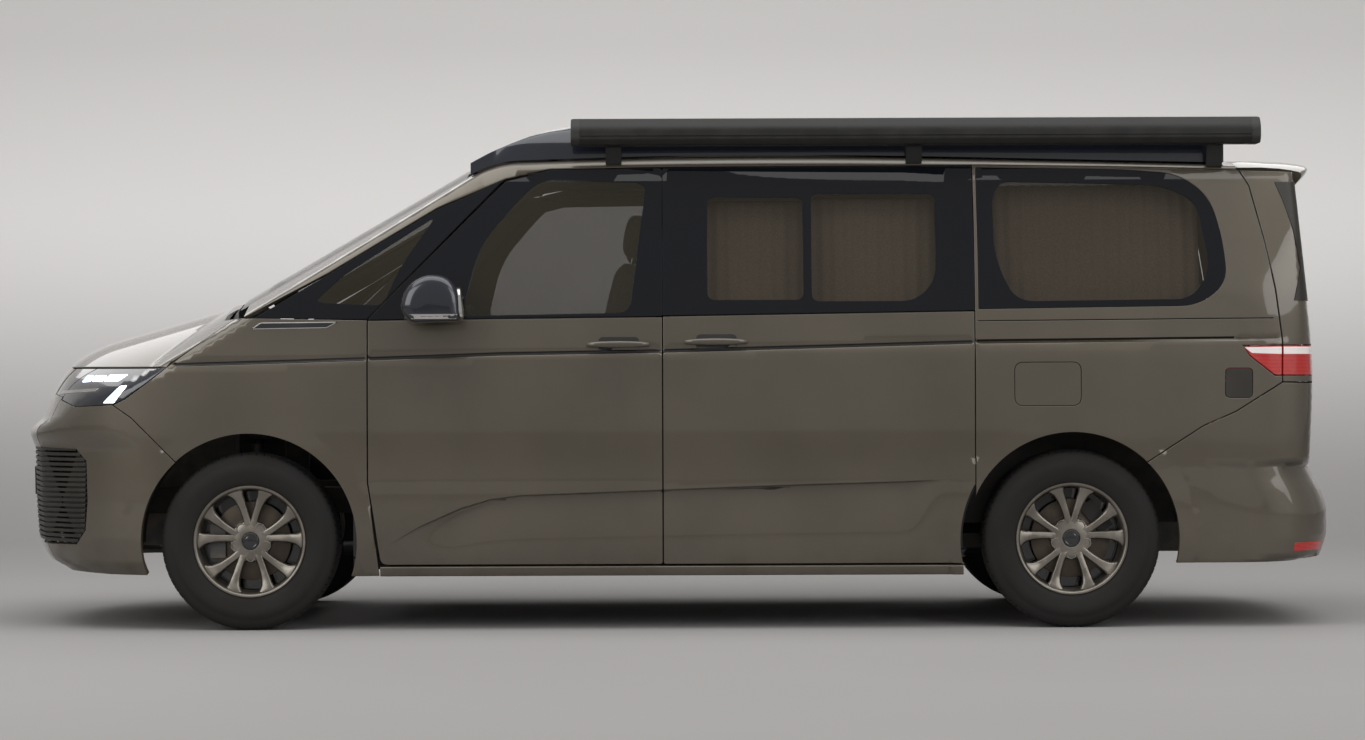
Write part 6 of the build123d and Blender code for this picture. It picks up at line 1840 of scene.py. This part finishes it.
@dataclass
class Cabin:
    """Seats, steering wheel, dashboard, blinds and kitchen."""

    seat_x: float = DOOR_FRONT + 0.640
    rear_x: float = REAR - 0.560
    dash_x: float = DOOR_FRONT - 0.010
    cabin_y: float = 0.8695
    tilt: float = 28.0

    def cushion(self, name: str, size: Sequence[float], crown: float, seams: Sequence[float]) -> bpy.types.Object:
        """Makes one padded form around the origin.

        Args:
            name: name of the piece.
            size: length, width and thickness.
            crown: how far its faces swell.
            seams: places of the sewn channels, as shares of the half width.

        Returns:
            The cushion.
        """
        work = bmesh.new()
        bmesh.ops.create_cube(work, size=2.0)
        bmesh.ops.subdivide_edges(work, edges=work.edges[:], cuts=14, use_grid_fill=True)
        power = 6.0
        for vert in work.verts:
            u, v, w = vert.co
            length = (abs(u) ** power + abs(v) ** power + abs(w) ** power) ** (1 / power)
            u, v, w = u / length, v / length, w / length
            swell = 1.0 + crown * (1 - u * u) * (1 - v * v)
            vert.co = Vector((u * size[0] / 2, v * size[1] / 2, w * size[2] / 2 * swell))
        data = bpy.data.meshes.new(name)
        work.to_mesh(data)
        work.free()
        obj = bpy.data.objects.new(name, data)
        bpy.context.scene.collection.objects.link(obj)
        remesh = obj.modifiers.new("even", "REMESH")
        remesh.mode, remesh.voxel_size = "VOXEL", 0.009
        bake(obj)
        self.swell(obj)
        rest = np.array([v.co for v in obj.data.vertices])
        for share in seams:
            for v, co in zip(obj.data.vertices, rest):
                near = math.exp(-(((abs(co[1]) - share * size[1] / 2) / 0.006) ** 2))
                if abs(co[2]) > size[2] * 0.2:
                    v.co.z -= math.copysign(0.0055 * near, co[2])
        obj.data.polygons.foreach_set("use_smooth", [True] * len(obj.data.polygons))
        return obj

    def swell(self, obj: bpy.types.Object) -> None:
        """Puffs a form up as cloth under pressure, with its move capped."""
        start = np.array([v.co for v in obj.data.vertices])
        cloth = obj.modifiers.new("cloth", "CLOTH")
        cloth.settings.use_pressure = True
        cloth.settings.uniform_pressure_force = 4.0
        cloth.settings.quality = 4
        cloth.settings.effector_weights.gravity = 0.0
        cloth.point_cache.frame_start, cloth.point_cache.frame_end = 1, 20
        scene = bpy.context.scene
        for frame_number in range(1, 21):
            scene.frame_set(frame_number)
        graph = bpy.context.evaluated_depsgraph_get()
        data = bpy.data.meshes.new_from_object(obj.evaluated_get(graph), depsgraph=graph)
        obj.modifiers.clear()
        moved = np.array([v.co for v in data.vertices]) - start
        length = np.linalg.norm(moved, axis=1, keepdims=True)
        moved *= np.minimum(1.0, 0.012 / np.maximum(length, 1e-9))
        data.vertices.foreach_set("co", (start + moved).ravel())
        data.update()
        obj.data = data
        scene.frame_set(1)

    def place(self, form: bpy.types.Object, name: str, spot: Sequence[float], lean: float, node: str) -> None:
        """Sets a copy of a padded form in the cabin."""
        obj = bpy.data.objects.new(name, form.data.copy())
        obj.data.transform(Matrix.Translation(spot) @ Matrix.Rotation(math.radians(lean), 4, "Y"))
        bpy.context.scene.collection.objects.link(obj)
        settle(obj, "root", "seat_fabric", [node], Finish.FABRIC)

    def seats(self) -> None:
        """Makes the four seats: padded base, back and head rest, a plinth, and two posts under each head rest."""
        base = self.cushion("seat_form", (0.48, 0.46, 0.125), 0.10, (0.56,))
        back = self.cushion("back_form", (0.66, 0.45, 0.095), 0.12, (0.56,))
        head = self.cushion("head_form", (0.165, 0.225, 0.075), 0.15, ())
        rows = [("front", self.seat_x, y, "front_seats") for y in (-0.43, 0.43)]
        rows += [("rear", self.rear_x, y, "rear_seats") for y in (-0.12, 0.39)]
        for kind, x, y, node in rows:
            tag = f"{kind}_{'near' if y < 0.2 else 'far'}"
            if kind == "front":
                self.place(base, f"seat_base_{tag}", (x - 0.010, y, 0.728), -4.0, node)
                self.place(back, f"seat_back_{tag}", (x + 0.292, y, 1.085), -78.0, node)
                self.place(head, f"head_rest_{tag}", (x + 0.374, y, 1.505), -80.0, node)
            else:
                self.place(base, f"seat_base_{tag}", (x - 0.005, y, 0.722), -3.0, node)
                self.place(back, f"seat_back_{tag}", (x + 0.240, y, 1.070), -86.0, node)
                self.place(head, f"head_rest_{tag}", (x + 0.240, y, 1.455), -88.0, node)
            parts = []
            ring = rounded([(-0.19, 0.432, 0.01), (0.17, 0.432, 0.01), (0.15, 0.645, 0.02), (-0.20, 0.645, 0.02)])
            parts.append(lofted("plinth", [[(x + u, y + side, v) for u, v in ring] for side in (-0.185, 0.185)], 0,
                                bevel=0.004))
            for side in (-0.055, 0.055):
                top = (x + 0.366, 1.44) if kind == "front" else (x + 0.240, 1.40)
                low = (x + 0.338, 1.32) if kind == "front" else (x + 0.240, 1.30)
                rod = []
                for t in np.linspace(0, 1, 4):
                    cx, cz = low[0] + (top[0] - low[0]) * t, low[1] + (top[1] - low[1]) * t
                    rod.append([(cx + 0.006 * math.cos(a), y + side + 0.006 * math.sin(a), cz)
                                for a in np.linspace(0, 2 * math.pi, 12, endpoint=False)])
                parts.append(lofted("post", rod, 1, sharp=60.0))
            settle(joined(f"seat_plinth_{tag}", parts), "root", "cabin_plastic", [node], Finish.CABIN, Finish.CHROME)
        for form in (base, back, head):
            bpy.data.objects.remove(form)

    def steering(self) -> None:
        """Makes the steering wheel: rim, three spokes and a hub pad."""
        hub = Vector((self.dash_x + 0.440, -0.410, 1.075))
        lean = math.radians(self.tilt)
        out = Vector((math.cos(lean), 0, math.sin(lean)))
        side, up = Vector((0, 1, 0)), Vector((-math.sin(lean), 0, math.cos(lean)))
        rings = []
        for k in range(72):
            a = 2 * math.pi * k / 72
            ring_way = side * math.cos(a) + up * math.sin(a)
            thick = 0.0128 + 0.0012 * abs(math.sin(2 * a))
            rings.append([hub + out * (0.012 + thick * math.sin(b)) + ring_way * (0.173 + thick * 0.98 * math.cos(b))
                          for b in np.linspace(0, 2 * math.pi, 14, endpoint=False)])
        points = [p for ring in rings for p in ring]
        faces = grid_faces(72, 14, True) + [(71 * 14 + c, 71 * 14 + (c + 1) % 14, (c + 1) % 14, c) for c in range(14)]
        parts = [plain("wheel_rim", points, faces, sharp=60.0)]
        for angle, width in ((0, 0.026), (180, 0.026), (270, 0.020)):
            way = side * math.cos(math.radians(angle)) + up * math.sin(math.radians(angle))
            wide = side * -math.sin(math.radians(angle)) + up * math.cos(math.radians(angle))
            rings = []
            for t in np.linspace(0, 1, 7):
                spot = hub + way * (0.040 + 0.128 * t) + out * (0.010 + 0.003 * t)
                half = width * (1.25 - 0.45 * t)
                rings.append([spot + wide * half * math.cos(b) + out * 0.0075 * math.sin(b)
                              for b in np.linspace(0, 2 * math.pi, 16, endpoint=False)])
            parts.append(lofted("wheel_spoke", rings, 1, sharp=60.0))
        rings = []
        for lift, radius in ((0.001, 0.050), (0.012, 0.062), (0.019, 0.060), (0.0225, 0.050), (0.0238, 0.030),
                             (0.024, 0.010)):
            rings.append([hub + out * lift + side * radius * 1.12 * math.cos(b) + up * radius * 0.95 * math.sin(b)
                          for b in np.linspace(0, 2 * math.pi, 40, endpoint=False)])
        parts.append(lofted("hub_pad", rings, 0, sharp=60.0))
        settle(joined("steering_wheel_piece", parts), "steering_wheel", "cabin_plastic", ["steering_wheel"],
               Finish.CABIN, Finish.GLOSS_BLACK)

    def dashboard(self) -> None:
        """Makes the dashboard with its hood, screen, vents and column."""
        x, reach = self.dash_x, self.cabin_y - 0.032
        section = rounded([(x - 0.009, 0.765), (x - 0.009, 1.128, 0.02), (x + 0.120, 1.172, 0.08),
                           (x + 0.325, 1.148, 0.05),
                           (x + 0.366, 1.082, 0.03), (x + 0.330, 0.960, 0.03), (x + 0.298, 0.802, 0.05),
                           (x + 0.240, 0.703, 0.03)], 6)
        stations = []
        for y in np.linspace(-reach, reach, 25):
            hood = 0.030 * math.exp(-(((y + 0.41) / 0.16) ** 4))
            ring = []
            for u, v in section:
                lift = hood * float(smooth(1.10, 1.16, np.float64(v))) * float(smooth(x + 0.10, x + 0.26,
                                                                                      np.float64(u)))
                ring.append((u, y, min(v + lift, 1.1745)))
            stations.append(ring)
        parts = [lofted("dash", stations, 0, sharp=40.0)]
        screen = rounded([(-0.12, 1.02, 0.01), (0.16, 1.02, 0.01), (0.16, 1.145, 0.01), (-0.12, 1.145, 0.01)])
        parts.append(lofted("screen", [[(x + d + (z - 1.08) * -0.10, y, z) for y, z in screen] for d in (0.345,
                0.3655)], 1,
                            bevel=0.002))
        for y in (-0.72, -0.22, 0.24, 0.72):
            vent = rounded([(y - 0.06, 1.00, 0.01), (y + 0.06, 1.00, 0.01), (y + 0.06, 1.055, 0.01),
                            (y - 0.06, 1.055, 0.01)])
            parts.append(lofted("vent", [[(x + d, u, v) for u, v in vent] for d in (0.330, 0.3585)], 1, bevel=0.002))
        hub = Vector((x + 0.440, -0.410, 1.075))
        lean = math.radians(self.tilt)
        out = Vector((math.cos(lean), 0, math.sin(lean)))
        side, up = Vector((0, 1, 0)), Vector((-math.sin(lean), 0, math.cos(lean)))
        rings = [[hub - out * drop + (side * math.cos(b) + up * math.sin(b)) * radius
                  for b in np.linspace(0, 2 * math.pi, 24, endpoint=False)]
                 for drop, radius in ((0.150, 0.044), (0.060, 0.042), (0.020, 0.036), (0.002, 0.030))]
        parts.append(lofted("column", rings, 0, sharp=50.0))
        settle(joined("dashboard_piece", parts), "root", "cabin_plastic", ["dashboard"], Finish.CABIN,
               Finish.GLOSS_BLACK)

    def kitchen(self) -> None:
        """Makes the kitchen unit with its worktop and doors."""
        x0, x1 = B_POST + 0.260, REAR - 0.470
        y0, y1 = -self.cabin_y + 0.020, -self.cabin_y + 0.440

        def box(low: Sequence[float], high: Sequence[float], mark: int, bevel: float) -> bpy.types.Object:
            """Makes a board between two corners."""
            ring = [(low[0], low[1]), (high[0], low[1]), (high[0], high[1]), (low[0], high[1])]
            return lofted("board", [[(*p, z) for p in ring] for z in (low[2], high[2])], mark, bevel=bevel)
        parts = [box((x0 + 0.004, y0 + 0.004, 0.431), (x1 - 0.004, y1 - 0.022, 1.114), 0, 0.003),
                 box((x0, y0, 1.114), (x1, y1, 1.1395), 1, 0.005)]
        count, wide = 3, (x1 - x0 - 0.02) / 3
        for k in range(count):
            left = x0 + 0.010 + k * wide
            for low, high in ((0.470, 0.850), (0.858, 1.100)):
                parts.append(box((left + 0.003, y1 - 0.021, low), (left + wide - 0.003, y1 - 0.004, high), 2, 0.003))
                middle = left + wide / 2
                parts.append(box((middle - 0.05, y1 - 0.005, high - 0.040), (middle + 0.05, y1 - 0.001, high - 0.028),
                                 3, 0.001))
        settle(joined("kitchen_piece", parts), "root", "furniture", ["kitchen_unit"], Finish.BOARD, Finish.CABIN,
               Finish.BOARD, Finish.CHROME)

    def blind(self, name: str, x0: float, x1: float, z0: float, z1: float, side: int) -> None:
        """Hangs one closed blind behind a pane."""
        columns = int((x1 - x0) / 0.0125) | 1
        xs = np.linspace(x0, x1, columns)
        zs = np.linspace(z0, z1, 10)
        flat = np.array([(x, z) for z in zs for x in xs])
        point, normal = project(Side.LEFT, flat)
        wave = np.tile(0.006 * np.sin(np.arange(columns) * math.pi / 2 + 0.4), len(zs))
        spots = point - normal * (0.080 + wave[:, None])
        spots[:, 1] *= -side
        faces = grid_faces(len(zs), columns, False)
        obj = plain(name, spots, faces, sharp=180.0)
        settle(obj, "root", "canvas", [], Finish.CURTAIN)

    def build(self) -> None:
        """Makes what is in the cabin."""
        self.seats()
        self.steering()
        self.dashboard()
        self.kitchen()
        for side, sign in (("left", -1), ("right", 1)):
            self.blind(f"blind_door_{side}", 0.075, 1.010, 1.215, 1.690, sign)
            self.blind(f"blind_quarter_{side}", 1.200, 2.000, 1.225, 1.715, sign)


@dataclass
class Underneath:
    """Finishes of the solids that stay as they are."""

    finishes: Sequence[tuple[str, Finish]] = (
        ("floor_pan", Finish.CHASSIS), ("front_subframe", Finish.CHASSIS), ("engine_block", Finish.CAST),
        ("knuckle_left", Finish.CAST), ("knuckle_right", Finish.CAST), ("rear_axle", Finish.CHASSIS),
        ("exhaust", Finish.CAST), ("fuel_tank", Finish.PLASTIC), ("wheel_arch_liners", Finish.RUBBER),
        ("cowl", Finish.PLASTIC), ("roof_panel", Finish.PAINT),
    )

    def build(self) -> None:
        """Dresses each solid that still shows."""
        for name, finish in self.finishes:
            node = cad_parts[name]
            for slot in node.material_slots:
                slot.material = coat(finish)
            LOG.info("%s dressed as %s", name, finish.value.name)


@dataclass
class Stage:
    """Floor, lamps and camera."""

    soft_boxes: Sequence[tuple[str, Sequence[float], Sequence[float], Point, float]] = (
        ("lamp_over", (0.0, -2.0, 7.5), (0.0, 0.0, 0.8), (14.0, 8.0), 600.0),
        ("lamp_left", (-7.5, -8.0, 4.2), (-1.0, 0.0, 0.8), (7.0, 5.0), 260.0),
        ("lamp_right", (7.5, -8.5, 4.4), (1.0, 0.0, 0.8), (7.0, 5.0), 230.0),
        ("lamp_back", (0.0, 7.5, 6.4), (0.0, 0.0, 0.8), (14.0, 5.0), 240.0),
    )
    world_colour: Sequence[float] = (0.90, 0.88, 0.86, 1.0)
    world_strength: float = 0.42
    eye: Sequence[float] = (0.025, -14.915, 0.9836)
    lens: float = 97.2
    sensor_width: float = 36.0
    roll: float = -0.21

    def backdrop(self) -> bpy.types.Material:
        """Returns the floor's material: cameras and glass see grey, darker on the floor and paler up the wall, a
        painted shade gradient; other rays see dark grey.
        """
        m = Maker("studio_floor")
        m.surface.inputs["Roughness"].default_value = 0.9
        cloud = m.noise(0.35, 2.0).ramp(0.3, 0.7)
        seen = None
        for output in ("Is Camera Ray", "Is Glossy Ray", "Is Transmission Ray"):
            ray = m.node("ShaderNodeLightPath", output=output)
            seen = ray if seen is None else seen.math("MAXIMUM", ray)
        # Painted shade: the backdrop darkens from the wall down to the floor.
        height = m.axis(2).ramp(0.0, 2.2)
        pale = (height * 0.98 + cloud * 0.02).tint((0.36, 0.350, 0.345), (0.95, 0.935, 0.925))
        colour = m.node("ShaderNodeMix", {"data_type": "RGBA"}, {0: seen, 6: (0.20, 0.19, 0.185, 1.0), 7: pale},
                        output=2)
        return m.set(Base_Color=colour, Specular_IOR_Level=0.15)

    def build(self) -> None:
        """Makes the stage."""
        rows, data = [], bpy.data.meshes.new("studio_floor")
        reach, turn = 30.0, 4.0
        for y, z in [(-reach, 0.0), (6.0, 0.0)] + [
            (6.0 + turn * math.sin(a), turn * (1 - math.cos(a))) for a in np.linspace(0.1, math.pi / 2, 16)
        ] + [(6.0 + turn, 22.0)]:
            rows.append([(-reach, y, z), (reach, y, z)])
        points = [p for row in rows for p in row]
        data.from_pydata(points, [], [(2 * k, 2 * k + 1, 2 * k + 3, 2 * k + 2) for k in range(len(rows) - 1)])
        data.polygons.foreach_set("use_smooth", [True] * len(data.polygons))
        floor = bpy.data.objects.new("studio_floor", data)
        bpy.context.scene.collection.objects.link(floor)
        floor.data.materials.append(self.backdrop())
        self.lamps()
        self.camera()

    def lamps(self) -> None:
        """Adds the soft boxes and the world's light."""
        for name, spot, aim, size, power in self.soft_boxes:
            light = bpy.data.lights.new(name, "AREA")
            light.shape, light.size, light.size_y, light.energy = "RECTANGLE", size[0], size[1], power
            obj = bpy.data.objects.new(name, light)
            obj.location = spot
            obj.visible_camera = False
            obj.rotation_euler = (Vector(aim) - Vector(spot)).to_track_quat("-Z", "Y").to_euler()
            bpy.context.scene.collection.objects.link(obj)
        world = bpy.data.worlds.new("studio")
        world.use_nodes = True
        world.node_tree.nodes["Background"].inputs[0].default_value = self.world_colour
        world.node_tree.nodes["Background"].inputs[1].default_value = self.world_strength
        bpy.context.scene.world = world
        bpy.context.scene.view_settings.view_transform = "Standard"

    def camera(self) -> None:
        """Adds the camera of the photograph."""
        data = bpy.data.cameras.new("camera")
        data.lens, data.sensor_width = self.lens, self.sensor_width
        obj = bpy.data.objects.new("camera", data)
        level = Matrix.Rotation(math.radians(90), 4, "X")
        roll = Matrix.Rotation(math.radians(self.roll), 4, "Z")
        obj.matrix_world = Matrix.Translation(self.eye) @ level @ roll
        bpy.context.scene.collection.objects.link(obj)
        bpy.context.scene.camera = obj


def main() -> None:
    """Makes every sub-assembly in order."""
    logging.basicConfig(level=logging.INFO, format="%(name)s %(message)s")
    for assembly in (Stage(), Doors(), BodySides(), Front(), Back(), Mirrors(), RaisingRoof(), Awning(), Wheels(),
                     Cabin(), Underneath()):
        assembly.build()
        LOG.info("%s done", type(assembly).__name__)


if __name__ == "__main__":
    main()
